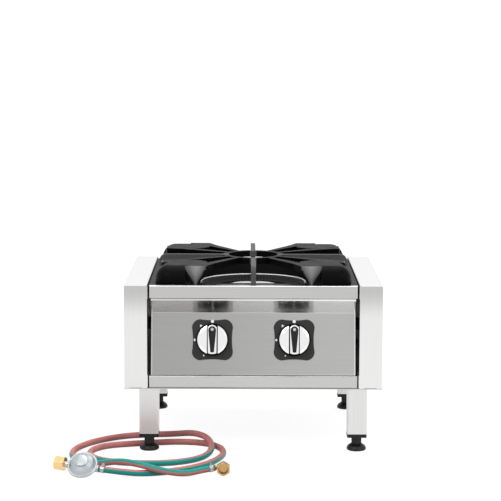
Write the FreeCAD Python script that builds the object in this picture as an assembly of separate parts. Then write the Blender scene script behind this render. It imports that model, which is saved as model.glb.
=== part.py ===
import FreeCAD, Part
import math
import os
from FreeCAD import Placement, Rotation, Vector

# Low gas range for stock pots: a body of folded sheet between two box cheeks, on four
# square legs, with a two-ring burner under a cast pan support.
# Axes: X to the right, Y to the back, Z up. The origin is on the floor, in the middle
# of the range without its hose. Millimetres and degrees throughout.

# ---------------------------------------------------------------- driving dimensions
# Body
WIDTH = 580.0
DEPTH = 500.0
CHEEK_TOP = 380.0
BODY_BOTTOM = 145.0
CHEEK_WIDTH = 52.5
SHEET = 1.5
BASE_SHEET = 2.0
BEND_RADIUS = 2.0
CHEEK_LIP = 12.0
FIT_GAP = 0.3

# Hob tray with its front nose
NOSE_HEIGHT = 29.5
NOSE_TOP_DEPTH = 12.0
NOSE_RISE = 4.0
NOSE_GAP = 4.5
TRAY_SIDE_GAP = 1.0
TRAY_FLANGE = 18.0
WELL_SIDE = 358.0
WELL_DEPTH = 38.0
WELL_DRAFT = 6.0
WELL_CORNER = 28.0
TRAY_HOLE_RADIUS = 146.0
TRAY_HOLE_RIM = 5.0

# Control panel and lower front rail
PANEL_SETBACK = 28.0
PANEL_TOP_DROP = 65.0
PANEL_GAP = 7.5
RAIL_HEIGHT = 30.7
RAIL_DEPTH = 14.0
RAIL_GAP = 3.5
PANEL_RAIL_GAP = 0.3
PANEL_HOLE_RADIUS = 11.5

# Rear panel and base
LOUVRE_LENGTH = 62.0
LOUVRE_HEIGHT = 6.0
LOUVRE_PITCH_X = 92.0
LOUVRE_PITCH_Z = 20.0
LOUVRE_COLUMNS = 4
LOUVRE_ROWS = 5
REAR_FLANGE = 12.0
AIR_OPENING = 250.0
AIR_OPENING_CORNER = 30.0

# Legs and feet
LEG_SIDE = 44.0
LEG_WALL = 2.0
LEG_CORNER = 3.0
LEG_SIDE_INSET = 32.5
LEG_END_INSET = 7.6
LEG_BOTTOM = 40.0
PLUG_THICKNESS = 8.0
PLUG_BOSS_HEIGHT = 24.0
FOOT_RADIUS = 22.0
FOOT_NECK_FLATS = 22.0
FOOT_EDGE_HEIGHT = 5.0
FOOT_DOME_HEIGHT = 19.0
STUD_RADIUS = 5.0
STUD_LENGTH = 28.0
STUD_GAP = 0.3
NECK_GAP = 0.1
FOOT_TRAVEL = 18.0

# Cast pan support
SUPPORT_HALF = 222.0
SUPPORT_HEIGHT = 43.0
SUPPORT_PLATE = 9.0
SUPPORT_WALL = 8.0
SUPPORT_CORNER = 34.0
SUPPORT_SHOULDER = 30.0
FLAME_RADIUS = 168.0
KEEL_INNER = 107.0
KEEL_OUTER = 155.0
KEEL_FOOT_INNER = 130.0
KEEL_FOOT_OUTER = 141.0
KEEL_LEAN = 12.0
KEEL_DEPTH = 58.0
KEEL_WAIST_WIDTH = 24.0
KEEL_TIP_WIDTH = 11.0
KEEL_TIP_HEIGHT = 15.0
FINGER_WIDTH = 11.0
FINGER_HEIGHT = 16.0
FINGER_FOOT = 22.0
RING_OUTER = 72.0
RING_INNER = 58.0
RING_HEIGHT = 14.0
SUPPORT_GAP = 0.3

# Two-ring burner
BURNER_TOP = 355.0
OUTER_RIM_RADIUS = 129.0
OUTER_THROAT_RADIUS = 94.0
OUTER_DISH = 12.0
OUTER_SLOTS = 90
OUTER_SLOT_WIDTH = 2.2
INNER_TOP = 346.5
INNER_RIM_RADIUS = 57.0
INNER_THROAT_RADIUS = 22.0
INNER_DISH = 8.0
INNER_SLOTS = 40
INNER_SLOT_WIDTH = 2.0
CAP_RIM_WIDTH = 4.0
CAP_FLOOR = 5.0
CAP_SPIGOT = 6.0
SPIGOT_WALL = 2.5
CAP_GAP = 0.3
BURNER_WALL = 4.0
CHANNEL_DEPTH = 24.0
MIXER_BORE = 12.0
MIXER_WALL = 3.0
MIXER_BELL = 16.5
MIXER_DROP = 19.0
OUTER_MIXER_Y = -150.0
INNER_MIXER_START = 150.0
YOKE_LENGTH = 20.0
INJECTOR_RADIUS = 8.0
INJECTOR_LENGTH = 24.0
NOZZLE_RADIUS = 4.0

# Burner carriers
CARRIER_X = 125.0
CARRIER_WIDTH = 22.0
CARRIER_HEIGHT = 16.0
CARRIER_WALL = 2.0
CROSSBAR_LEG = 24.0
PIPE_NOTCH = 20.0
BAR_THICKNESS = 3.0
BAR_WIDTH = 20.0
BAR_Y = 34.0
CROSSBAR_FRONT_Y = -202.0
CROSSBAR_REAR_Y = 224.0

# Knobs, plates and valves
KNOB_SPACING = 184.0
KNOB_DROP = 125.0
PLATE_SIDE = 92.0
PLATE_CORNER = 19.0
PLATE_WAIST = 2.2
PLATE_THICKNESS = 3.0
KNOB_RADIUS = 35.8
KNOB_FACE_RADIUS = 33.6
KNOB_GAP = 4.0
KNOB_SKIRT_HEIGHT = 11.0
KNOB_WALL = 2.2
KNOB_PUSH = 3.0
GRIP_WIDTH = 20.5
GRIP_HEIGHT = 17.0
GRIP_END_RADIUS = 7.0
GRIP_EDGE = 1.2
GROOVE_WIDTH = 2.0
INSERT_TOP_WIDTH = 15.6
INSERT_FOOT_WIDTH = 8.6
INSERT_DEPTH = 2.0
INSERT_END = 3.6
INSERT_RISE = 0.2
STEM_RADIUS = 4.0
STEM_GAP = 0.3
STEM_FLAT = 1.5
HUB_RADIUS = 7.8
VALVE_HUB_RADIUS = 10.0
VALVE_WIDTH = 28.0
VALVE_HEIGHT = 38.0
VALVE_DEPTH = 34.0
MAGNET_RADIUS = 8.0
MAGNET_LENGTH = 22.0

# Gas pipes
MANIFOLD_RADIUS = 10.65
MANIFOLD_WALL = 2.6
MANIFOLD_DROP = 33.0
MANIFOLD_BACK = 20.0
MANIFOLD_LEFT = -128.0
INLET_FROM_SIDE = 94.0
INLET_BEND = 34.0
INLET_THREAD_RADIUS = 10.48
INLET_NUT_FLATS = 27.0
INLET_NUT_LENGTH = 9.0
FEED_RADIUS = 5.0
FEED_LEAD = 26.0
FEED_BEND = 14.0
PROBE_RADIUS = 2.5
PROBE_HEIGHT = 32.0
PROBE_RISE = 5.0
PROBE_LEAD_RADIUS = 1.2
PROBE_CLEARANCE = 6.0
PROBE_COLLAR = 5.0
OUTER_PROBE_ANGLE = -105.0
INNER_PROBE_ANGLE = -100.0
LUG_THICKNESS = 3.0

# Fasteners
SCREW_HEAD_RADIUS = 4.0
SCREW_HEAD_HEIGHT = 2.2
SCREW_SHANK_RADIUS = 2.0
SCREW_SHANK = 6.0
REAR_SCREWS = 5
REAR_SCREW_PITCH = 100.0
BOLT_FLATS = 10.0
BOLT_HEAD = 4.0
BOLT_SHANK_RADIUS = 3.0
BOLT_SPACING = 18.0
BOLT_INSET = 13.0

# Gas hose that lies on the floor, with its regulator and end fitting
HOSE_RADIUS = 7.0
REGULATOR_X = -366.0
REGULATOR_Y = -460.0
REGULATOR_TILT = 40.0
REGULATOR_TURN = -15.0
REGULATOR_ROLL = 4.0
REGULATOR_RADIUS = 33.0
REGULATOR_RIM = 5.0
REGULATOR_DOME = 15.0
REGULATOR_BELLY = 12.0
REGULATOR_CAP_RADIUS = 15.0
REGULATOR_CAP_HEIGHT = 3.0
PORT_DROP = 6.0
PORT_RADIUS = 8.0
PORT_REACH = 36.0
NIPPLE_RADIUS = 6.0
NIPPLE_COLLAR = 9.5
NIPPLE_GAP = 0.3
COLLAR_LENGTH = 3.0
THREAD_RELIEF = 0.4
NUT_CHAMFER = 1.8
UNION_START = 41.0
UNION_FLATS = 29.0
UNION_LENGTH = 22.0
UNION_WALL = 4.0
UNION_BORE = 10.9
TAIL_RADIUS = 4.0
TAIL_LENGTH = 16.0
CLAMP_WIDTH = 8.0
CLAMP_BAND = 1.2
CLAMP_SETBACK = 5.0
END_CORNER = Vector(-64.0, -441.0, 15.7)
END_REACH = 20.0
END_BEND = 7.0
END_NUT_FLATS = 27.0
END_NUT_LENGTH = 15.0
END_NUT_WALL = 3.5
END_NUT_BORE = 10.3
END_NUT_AT = 13.0
HOSE_LEAD = 38.0
HOSE_ROUTE = (
    (-242, -474, 7.5), (-190, -459, 7), (-143, -432, 7), (-104, -393, 7), (-76, -343, 7), (-64, -286, 7),
    (-74, -230, 7), (-110, -190, 7), (-166, -177, 7), (-226, -188, 7), (-283, -201, 7), (-336, -220, 7),
    (-367, -266, 7), (-362, -324, 7), (-324, -364, 7), (-265, -381, 7), (-203, -384, 7), (-145, -363, 7),
    (-104, -318, 7), (-90, -264, 14), (-102, -210, 24.5), (-136, -161, 24.5), (-182, -127, 13),
    (-236, -108, 7), (-294, -120, 7), (-344, -156, 7), (-384, -206, 7), (-406, -266, 7), (-402, -328, 7),
    (-370, -374, 7), (-330, -406, 12), (-288, -436, 26), (-240, -470, 26), (-190, -484, 15),
    (-146, -474, 7), (-112, -459, 11.5))

# ---------------------------------------------------------------- derived values
HALF_WIDTH = WIDTH / 2
FRONT = -DEPTH / 2
REAR = DEPTH / 2
CHEEK_INNER = HALF_WIDTH - CHEEK_WIDTH
FLOOR_TOP = BODY_BOTTOM + BASE_SHEET
TRAY_TOP = CHEEK_TOP - NOSE_RISE
TRAY_HALF = CHEEK_INNER - TRAY_SIDE_GAP
WELL_FLOOR = TRAY_TOP - WELL_DEPTH
SUPPORT_BASE = TRAY_TOP + SUPPORT_GAP
SUPPORT_TOP = SUPPORT_BASE + SUPPORT_HEIGHT
PANEL_TOP = CHEEK_TOP - PANEL_TOP_DROP
PANEL_FOOT = BODY_BOTTOM + RAIL_HEIGHT + PANEL_RAIL_GAP
PANEL_TILT = math.degrees(math.atan2(PANEL_SETBACK, PANEL_TOP - PANEL_FOOT))
KNOB_Z = CHEEK_TOP - KNOB_DROP
KNOB_Y = FRONT + PANEL_SETBACK * (KNOB_Z - PANEL_FOOT) / (PANEL_TOP - PANEL_FOOT)
KNOB_BASE = PLATE_THICKNESS + KNOB_GAP
GRIP_TOP = KNOB_BASE + KNOB_SKIRT_HEIGHT + GRIP_HEIGHT
TILT = math.radians(PANEL_TILT)
GRIP_REACH = KNOB_FACE_RADIUS - 1.0
FRONT_REACH = GRIP_EDGE - KNOB_Y + ((GRIP_TOP - GRIP_EDGE) * math.cos(TILT)
                                    + (GRIP_REACH - GRIP_EDGE) * math.sin(TILT))
INLET_END = FRONT_REACH
PLUG_BOTTOM = LEG_BOTTOM - PLUG_THICKNESS
LEG_X = HALF_WIDTH - LEG_SIDE_INSET - LEG_SIDE / 2
LEG_Y = REAR - LEG_END_INSET - LEG_SIDE / 2
OUTER_CHANNEL_TOP = BURNER_TOP - OUTER_DISH - CAP_FLOOR
INNER_CHANNEL_TOP = INNER_TOP - INNER_DISH - CAP_FLOOR
MIXER_OUTER = MIXER_BORE + MIXER_WALL
FEED_X = KNOB_SPACING / 2
INLET_X = HALF_WIDTH - INLET_FROM_SIDE
INNER_MIXER_TURN = math.degrees(math.atan2(FEED_X, -CROSSBAR_FRONT_Y - MANIFOLD_BACK))
CARRIER_TOP = OUTER_CHANNEL_TOP - CHANNEL_DEPTH
CARRIER_INNER = CARRIER_X - CARRIER_WIDTH / 2
MIXER_AXIS_Z = CARRIER_TOP - MIXER_DROP
REAR_SCREW_Z = TRAY_TOP - TRAY_FLANGE / 2

X_AXIS = Vector(1, 0, 0)
Y_AXIS = Vector(0, 1, 0)
Z_AXIS = Vector(0, 0, 1)
SIDES = (("left", -1), ("right", 1))
CORNERS = (("front_left", -1, -1), ("front_right", 1, -1), ("rear_left", -1, 1), ("rear_right", 1, 1))


# ---------------------------------------------------------------- general helpers
def box(x0, x1, y0, y1, z0, z1):
    """Block between two corners."""
    return Part.makeBox(x1 - x0, y1 - y0, z1 - z0, Vector(x0, y0, z0))


def rod(radius, length, start=Vector(0, 0, 0), axis=Z_AXIS):
    """Round bar from start along axis."""
    return Part.makeCylinder(radius, length, start, axis)


def tube(outer, inner, length, start=Vector(0, 0, 0), axis=Z_AXIS):
    """Round tube from start along axis."""
    return rod(outer, length, start, axis).cut(rod(inner, length, start, axis))


def hexagon(flats, length, start=Vector(0, 0, 0), axis=Z_AXIS):
    """Six-sided bar, measured across its flats, from start along axis."""
    radius = flats / math.sqrt(3)
    turns = [math.radians(60 * k + 30) for k in range(6)]
    points = [Vector(radius * math.cos(a), radius * math.sin(a), 0) for a in turns]
    prism = Part.Face(Part.makePolygon(points + points[:1])).extrude(Vector(0, 0, length))
    prism.Placement = Placement(start, Rotation(Z_AXIS, axis))
    return prism


def fused(shapes):
    """One solid from touching shapes."""
    return shapes[0].multiFuse(shapes[1:]).removeSplitter()


def revolved(profile):
    """Solid of revolution about Z from (radius, height) points joined by straight lines."""
    points = [Vector(r, 0, z) for r, z in profile]
    face = Part.Face(Part.makePolygon(points + points[:1]))
    return face.revolve(Vector(0, 0, 0), Z_AXIS, 360)


def turned(shape, angle, count_axis=Z_AXIS):
    """Copy of a shape turned about an axis through the origin."""
    copy = shape.copy()
    copy.rotate(Vector(0, 0, 0), count_axis, angle)
    return copy


def turned_vector(vector, angle):
    """Vector turned about Z."""
    return Rotation(Z_AXIS, angle).multVec(vector)


def moved(shape, offset):
    """Copy of a shape moved by an offset."""
    copy = shape.copy()
    copy.translate(offset)
    return copy


def mirrored(shape):
    """Copy of a shape mirrored left to right."""
    return shape.mirror(Vector(0, 0, 0), X_AXIS)


def edges_at(shape, test):
    """Edges whose two ends both pass a test on their position."""
    return [e for e in shape.Edges if len(e.Vertexes) == 2 and all(test(v.Point) for v in e.Vertexes)]


def rounded_block(x0, x1, y0, y1, z0, z1, radius):
    """Block with its four upright edges rounded."""
    block = box(x0, x1, y0, y1, z0, z1)
    upright = [e for e in block.Edges if abs(e.Vertexes[0].Z - e.Vertexes[-1].Z) > (z1 - z0) / 2]
    return block.makeFillet(radius, upright)


def square_wire(half, radius, z):
    """Level square outline with round corners."""
    face = rounded_block(-half, half, -half, half, z, z + 1, radius).Faces
    low = min(face, key=lambda f: f.CenterOfMass.z)
    return low.OuterWire


def fillet_edges(points, radii, to_space):
    """Edges of an open line in a plane, each inner corner rounded by its radius."""
    edges = []
    start = points[0]
    for before, corner, after, radius in zip(points, points[1:], points[2:], radii):
        incoming = unit(before, corner)
        outgoing = unit(corner, after)
        turn = math.acos(max(-1.0, min(1.0, incoming[0] * outgoing[0] + incoming[1] * outgoing[1])))
        reach = radius * math.tan(turn / 2)
        first = (corner[0] - incoming[0] * reach, corner[1] - incoming[1] * reach)
        last = (corner[0] + outgoing[0] * reach, corner[1] + outgoing[1] * reach)
        inward = (outgoing[0] - incoming[0], outgoing[1] - incoming[1])
        size = math.hypot(*inward)
        depth = radius / math.cos(turn / 2) - radius
        middle = (corner[0] + inward[0] / size * depth, corner[1] + inward[1] / size * depth)
        edges.append(Part.LineSegment(to_space(start), to_space(first)).toShape())
        edges.append(Part.Arc(to_space(first), to_space(middle), to_space(last)).toShape())
        start = last
    edges.append(Part.LineSegment(to_space(start), to_space(points[-1])).toShape())
    return edges


def unit(a, b):
    """Unit vector in a plane from point a to point b."""
    length = math.hypot(b[0] - a[0], b[1] - a[1])
    return ((b[0] - a[0]) / length, (b[1] - a[1]) / length)


def sheet_profile(points, thickness, to_space):
    """Face of folded sheet whose skin follows points, with the metal to the left of the way."""
    ways = [unit(a, b) for a, b in zip(points, points[1:])]
    lefts = [(-w[1], w[0]) for w in ways]
    inner = [(points[0][0] + lefts[0][0] * thickness, points[0][1] + lefts[0][1] * thickness)]
    skin_radii = []
    inner_radii = []
    for corner, way, left, next_way, next_left in zip(points[1:], ways, lefts, ways[1:], lefts[1:]):
        share = 1 + left[0] * next_left[0] + left[1] * next_left[1]
        inner.append((corner[0] + (left[0] + next_left[0]) / share * thickness,
                      corner[1] + (left[1] + next_left[1]) / share * thickness))
        bends_left = way[0] * next_way[1] - way[1] * next_way[0] > 0
        skin_radii.append(BEND_RADIUS + thickness if bends_left else BEND_RADIUS)
        inner_radii.append(BEND_RADIUS if bends_left else BEND_RADIUS + thickness)
    inner.append((points[-1][0] + lefts[-1][0] * thickness, points[-1][1] + lefts[-1][1] * thickness))
    edges = fillet_edges(points, skin_radii, to_space) + fillet_edges(inner, inner_radii, to_space)
    edges.append(Part.LineSegment(to_space(points[0]), to_space(inner[0])).toShape())
    edges.append(Part.LineSegment(to_space(points[-1]), to_space(inner[-1])).toShape())
    return Part.Face(Part.Wire(Part.__sortEdges__(edges)))


def folded_across(points, thickness, half):
    """Sheet folded to a (y, z) line and running across the range."""
    face = sheet_profile(points, thickness, lambda p: Vector(-half, p[0], p[1]))
    return face.extrude(Vector(2 * half, 0, 0))


def folded_along(points, thickness, y0, y1):
    """Sheet folded to an (x, z) line and running from front to back."""
    face = sheet_profile(points, thickness, lambda p: Vector(p[0], y0, p[1]))
    return face.extrude(Vector(0, y1 - y0, 0))


def bent_path(points, radii=None):
    """Wire of straight runs joined by tangent arcs, and the arcs' radii.

    Without radii each arc is as large as its two runs allow."""
    edges = []
    used = []
    start = points[0]
    for k, (before, corner, after) in enumerate(zip(points, points[1:], points[2:])):
        incoming = (corner - before).normalize()
        outgoing = (after - corner).normalize()
        half_turn = incoming.getAngle(outgoing) / 2
        shorter = min((corner - before).Length, (after - corner).Length)
        radius = radii[k] if radii else 0.45 * shorter / math.tan(half_turn)
        reach = radius * math.tan(half_turn)
        first = corner - incoming * reach
        last = corner + outgoing * reach
        inward = (outgoing - incoming).normalize()
        middle = corner + inward * (radius / math.cos(half_turn) - radius)
        edges.append(Part.LineSegment(start, first).toShape())
        edges.append(Part.Arc(first, middle, last).toShape())
        used.append(radius)
        start = last
    edges.append(Part.LineSegment(start, points[-1]).toShape())
    return Part.Wire(edges), used


def bent_tube(points, radius, bore=0.0, radii=None):
    """Round tube or bar along a bent path, and the radii of its bends."""
    path, used = bent_path(points, radii)
    way = points[1] - points[0]
    outer = Part.Wire(Part.makeCircle(radius, points[0], way))
    solid = path.makePipeShell([outer], True, False)
    if bore:
        inner = Part.Wire(Part.makeCircle(bore, points[0], way))
        solid = solid.cut(path.makePipeShell([inner], True, False))
    return solid, used


def save(name, shape):
    """Write one sub-part."""
    shape.exportStep("parts/" + name + ".step")


def panel_frame(x):
    """Frame on the control panel's face at a knob: local Z points out of the panel."""
    return Placement(Vector(x, KNOB_Y, KNOB_Z), Rotation(X_AXIS, 90 - PANEL_TILT))


def placed(shape, frame):
    """Copy of a shape carried into a frame."""
    copy = shape.copy()
    copy.Placement = frame.multiply(copy.Placement)
    return copy


# ---------------------------------------------------------------- body of folded sheet
def right_cheek():
    """Box-section side: a folded inverted channel with plates welded in its two ends."""
    skin = [(HALF_WIDTH - CHEEK_LIP, FLOOR_TOP), (HALF_WIDTH, FLOOR_TOP), (HALF_WIDTH, CHEEK_TOP),
            (CHEEK_INNER, CHEEK_TOP), (CHEEK_INNER, FLOOR_TOP), (CHEEK_INNER + CHEEK_LIP, FLOOR_TOP)]
    shell = folded_along(skin, SHEET, FRONT, REAR)
    inside = (CHEEK_INNER + SHEET / 2, HALF_WIDTH - SHEET / 2)
    ends = [box(inside[0], inside[1], y, y + SHEET, FLOOR_TOP + SHEET / 2, CHEEK_TOP - SHEET / 2)
            for y in (FRONT, REAR - SHEET)]
    return fused([shell] + ends)


def hob_tray():
    """Top sheet with a raised nose at the front, a pressed well and a hole for the burner."""
    nose_half = CHEEK_INNER - NOSE_GAP
    nose_back = FRONT + NOSE_TOP_DEPTH
    skin = [(FRONT + NOSE_TOP_DEPTH, CHEEK_TOP - NOSE_HEIGHT), (FRONT, CHEEK_TOP - NOSE_HEIGHT),
            (FRONT, CHEEK_TOP), (nose_back, CHEEK_TOP), (nose_back + 2 * NOSE_RISE, TRAY_TOP),
            (REAR - FIT_GAP - SHEET, TRAY_TOP), (REAR - FIT_GAP - SHEET, TRAY_TOP - TRAY_FLANGE)]
    skin = [(y, z) for y, z in reversed(skin)]
    sheet = folded_across(skin, SHEET, nose_half)
    flat_y0 = nose_back + 2 * NOSE_RISE + BEND_RADIUS
    flat_y1 = REAR - FIT_GAP - 2 * SHEET - BEND_RADIUS
    pieces = [sheet]
    for side in (-1, 1):
        low, high = sorted((side * nose_half, side * TRAY_HALF))
        pieces.append(box(low, high, flat_y0, flat_y1, TRAY_TOP - SHEET, TRAY_TOP))
        low, high = sorted((side * (TRAY_HALF - SHEET), side * TRAY_HALF))
        pieces.append(box(low, high, flat_y0, flat_y1, TRAY_TOP - TRAY_FLANGE, TRAY_TOP))
    half = WELL_SIDE / 2
    outer = Part.makeLoft([square_wire(half - WELL_DRAFT, WELL_CORNER - WELL_DRAFT, WELL_FLOOR - SHEET),
                           square_wire(half, WELL_CORNER, TRAY_TOP)], True, True)
    half, corner = half - SHEET, WELL_CORNER - SHEET
    inner = Part.makeLoft([square_wire(half - WELL_DRAFT, corner - WELL_DRAFT, WELL_FLOOR),
                           square_wire(half, corner, TRAY_TOP)], True, True)
    hole = rod(TRAY_HOLE_RADIUS, WELL_DEPTH, Vector(0, 0, WELL_FLOOR - 2 * SHEET))
    rim = tube(TRAY_HOLE_RADIUS + SHEET, TRAY_HOLE_RADIUS, TRAY_HOLE_RIM + SHEET,
               Vector(0, 0, WELL_FLOOR - SHEET))
    pieces.append(outer)
    shanks = [rod(SCREW_SHANK_RADIUS, SCREW_SHANK, at, Y_AXIS * -1) for at in rear_screw_points()]
    tray = fused([fused(pieces).cut(inner).cut(hole), rim])
    return tray.cut(Part.makeCompound(shanks))


def control_panel():
    """Sloped knob panel, the bright facet that runs up under the nose, and its flanges."""
    top_back = FRONT + PANEL_SETBACK
    under_nose = CHEEK_TOP - NOSE_HEIGHT - FIT_GAP
    skin = [(FRONT + RAIL_DEPTH, PANEL_FOOT), (FRONT, PANEL_FOOT), (top_back, PANEL_TOP),
            (FRONT + NOSE_TOP_DEPTH / 2, under_nose), (top_back, under_nose)]
    skin = [(y, z) for y, z in reversed(skin)]
    half = CHEEK_INNER - PANEL_GAP
    panel = folded_across(skin, SHEET, half)
    flange = Part.Face(Part.makePolygon([Vector(-half, y, z) for y, z in (
        (FRONT + SHEET, PANEL_FOOT + SHEET), (top_back + SHEET, PANEL_TOP),
        (top_back + CROSSBAR_LEG, PANEL_TOP), (FRONT + RAIL_DEPTH, PANEL_FOOT + SHEET),
        (FRONT + SHEET, PANEL_FOOT + SHEET))]))
    sides = [moved(flange, Vector(0, 0, 0)).extrude(Vector(SHEET, 0, 0)),
             moved(flange, Vector(2 * half - SHEET, 0, 0)).extrude(Vector(SHEET, 0, 0))]
    panel = fused([panel] + sides)
    for _, side in SIDES:
        hole = placed(rod(PANEL_HOLE_RADIUS, 4 * SHEET, Vector(0, 0, -3 * SHEET)),
                      panel_frame(side * KNOB_SPACING / 2))
        panel = panel.cut(hole)
    return panel


def bottom_rail():
    """Channel that closes the front below the control panel."""
    skin = [(FRONT + RAIL_DEPTH, FLOOR_TOP), (FRONT, FLOOR_TOP), (FRONT, BODY_BOTTOM + RAIL_HEIGHT),
            (FRONT + RAIL_DEPTH, BODY_BOTTOM + RAIL_HEIGHT)]
    skin = [(y, z) for y, z in reversed(skin)]
    return folded_across(skin, SHEET, CHEEK_INNER - RAIL_GAP)


def rear_panel():
    """Rear sheet on a flange, with rows of air slots and a hole for the gas inlet."""
    half = CHEEK_INNER - FIT_GAP
    top = TRAY_TOP - BEND_RADIUS - SHEET
    skin = [(REAR - REAR_FLANGE, FLOOR_TOP), (REAR, FLOOR_TOP), (REAR, top)]
    panel = folded_across(skin, SHEET, half)
    slots = []
    middle = (FLOOR_TOP + top) / 2 + LOUVRE_PITCH_Z
    for column in range(LOUVRE_COLUMNS):
        x = (column - (LOUVRE_COLUMNS - 1) / 2) * LOUVRE_PITCH_X - LOUVRE_HEIGHT * 3
        for row in range(LOUVRE_ROWS):
            z = middle + (row - (LOUVRE_ROWS - 1) / 2) * LOUVRE_PITCH_Z
            slots.append(box(x - LOUVRE_LENGTH / 2, x + LOUVRE_LENGTH / 2, REAR - 2 * SHEET,
                             REAR + SHEET, z - LOUVRE_HEIGHT / 2, z + LOUVRE_HEIGHT / 2))
    shanks = [rod(SCREW_SHANK_RADIUS, SCREW_SHANK, at, Y_AXIS * -1) for at in rear_screw_points()]
    panel = panel.cut(Part.makeCompound(slots + shanks))
    return panel.cut(rod(INLET_THREAD_RADIUS + 1.0, 4 * SHEET, Vector(INLET_X, REAR - 3 * SHEET, inlet_z()),
                         Y_AXIS))


def base_plate():
    """Floor of the body, which also closes both cheeks, with an air opening under the burner."""
    plate = box(-HALF_WIDTH, HALF_WIDTH, FRONT, REAR, BODY_BOTTOM, FLOOR_TOP)
    half = AIR_OPENING / 2
    plate = plate.cut(rounded_block(-half, half, -half, half, BODY_BOTTOM - 1, FLOOR_TOP + 1,
                                    AIR_OPENING_CORNER))
    return plate.cut(Part.makeCompound([bolt_shank(x, y) for x, y in bolt_points()]))


def crossbar(y, towards):
    """Angle from cheek to cheek that the burner carriers rest on."""
    top = CARRIER_TOP - CARRIER_HEIGHT
    half = CHEEK_INNER - FIT_GAP
    shelf = sorted((y, y + towards * CROSSBAR_LEG))
    web = sorted((y, y + towards * CARRIER_WALL))
    return fused([box(-half, half, shelf[0], shelf[1], top - CARRIER_WALL, top),
                  box(-half, half, web[0], web[1], top - CROSSBAR_LEG, top)])


def front_crossbar():
    """Front angle, notched for the two feed pipes."""
    low = MIXER_AXIS_Z - PIPE_NOTCH / 2
    half = PIPE_NOTCH / 2
    bar = crossbar(CROSSBAR_FRONT_Y, 1)
    for _, side in SIDES:
        bar = bar.cut(box(side * FEED_X - half, side * FEED_X + half, CROSSBAR_FRONT_Y - 1,
                          CROSSBAR_FRONT_Y + CROSSBAR_LEG + 1, low, CARRIER_TOP))
    return bar


def inner_burner_bars():
    """Two flat bars between the carriers, under the inner burner."""
    bars = [box(-CARRIER_INNER, CARRIER_INNER, side * BAR_Y - BAR_WIDTH / 2, side * BAR_Y + BAR_WIDTH / 2,
                CARRIER_TOP - BAR_THICKNESS, CARRIER_TOP) for side in (-1, 1)]
    return Part.makeCompound(bars)


def burner_carrier(side):
    """Upturned channel, front to back, under the outer burner."""
    x = side * CARRIER_X
    y0, y1 = CROSSBAR_FRONT_Y, CROSSBAR_REAR_Y
    low = CARRIER_TOP - CARRIER_HEIGHT
    block = box(x - CARRIER_WIDTH / 2, x + CARRIER_WIDTH / 2, y0, y1, low, CARRIER_TOP)
    inside = box(x - CARRIER_WIDTH / 2 + CARRIER_WALL, x + CARRIER_WIDTH / 2 - CARRIER_WALL,
                 y0 - 1, y1 + 1, low - 1, CARRIER_TOP - CARRIER_WALL)
    return block.cut(inside)


# ---------------------------------------------------------------- legs and feet
def leg():
    """Square tube with a plate welded in its top end, centred on Z."""
    half = LEG_SIDE / 2
    outer = rounded_block(-half, half, -half, half, LEG_BOTTOM, BODY_BOTTOM, LEG_CORNER)
    inner = half - LEG_WALL
    bore = rounded_block(-inner, inner, -inner, inner, LEG_BOTTOM - 1, BODY_BOTTOM - 2 * LEG_WALL,
                         max(LEG_CORNER - LEG_WALL, 0.5))
    return outer.cut(bore)


def leg_plug():
    """Plastic plug: a cap as wide as the tube, and a boss that holds the foot's stud."""
    half = LEG_SIDE / 2
    boss = half - LEG_WALL - FIT_GAP
    cap = rounded_block(-half, half, -half, half, PLUG_BOTTOM, LEG_BOTTOM, LEG_CORNER)
    body = rounded_block(-boss, boss, -boss, boss, LEG_BOTTOM, LEG_BOTTOM + PLUG_BOSS_HEIGHT,
                         max(LEG_CORNER - LEG_WALL, 0.5))
    bore = rod(STUD_RADIUS + STUD_GAP, STUD_LENGTH + 4, Vector(0, 0, PLUG_BOTTOM - 1))
    return fused([cap, body]).cut(bore)


def screw_foot():
    """Adjustable foot: a domed disc, a six-sided neck and a threaded stud."""
    dome_radius = FOOT_NECK_FLATS / 2 + 1.5
    profile = [(0, 0), (FOOT_RADIUS - 2, 0), (FOOT_RADIUS, 2), (FOOT_RADIUS, FOOT_EDGE_HEIGHT),
               (FOOT_RADIUS - 2.5, FOOT_EDGE_HEIGHT + 5), (dome_radius, FOOT_DOME_HEIGHT - 4),
               (0, FOOT_DOME_HEIGHT - 4)]
    neck_foot = FOOT_DOME_HEIGHT - 8
    neck = hexagon(FOOT_NECK_FLATS, PLUG_BOTTOM - NECK_GAP - neck_foot, Vector(0, 0, neck_foot))
    stud = rod(STUD_RADIUS, STUD_LENGTH, Vector(0, 0, PLUG_BOTTOM - 2))
    return fused([revolved(profile), neck, stud])


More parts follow.
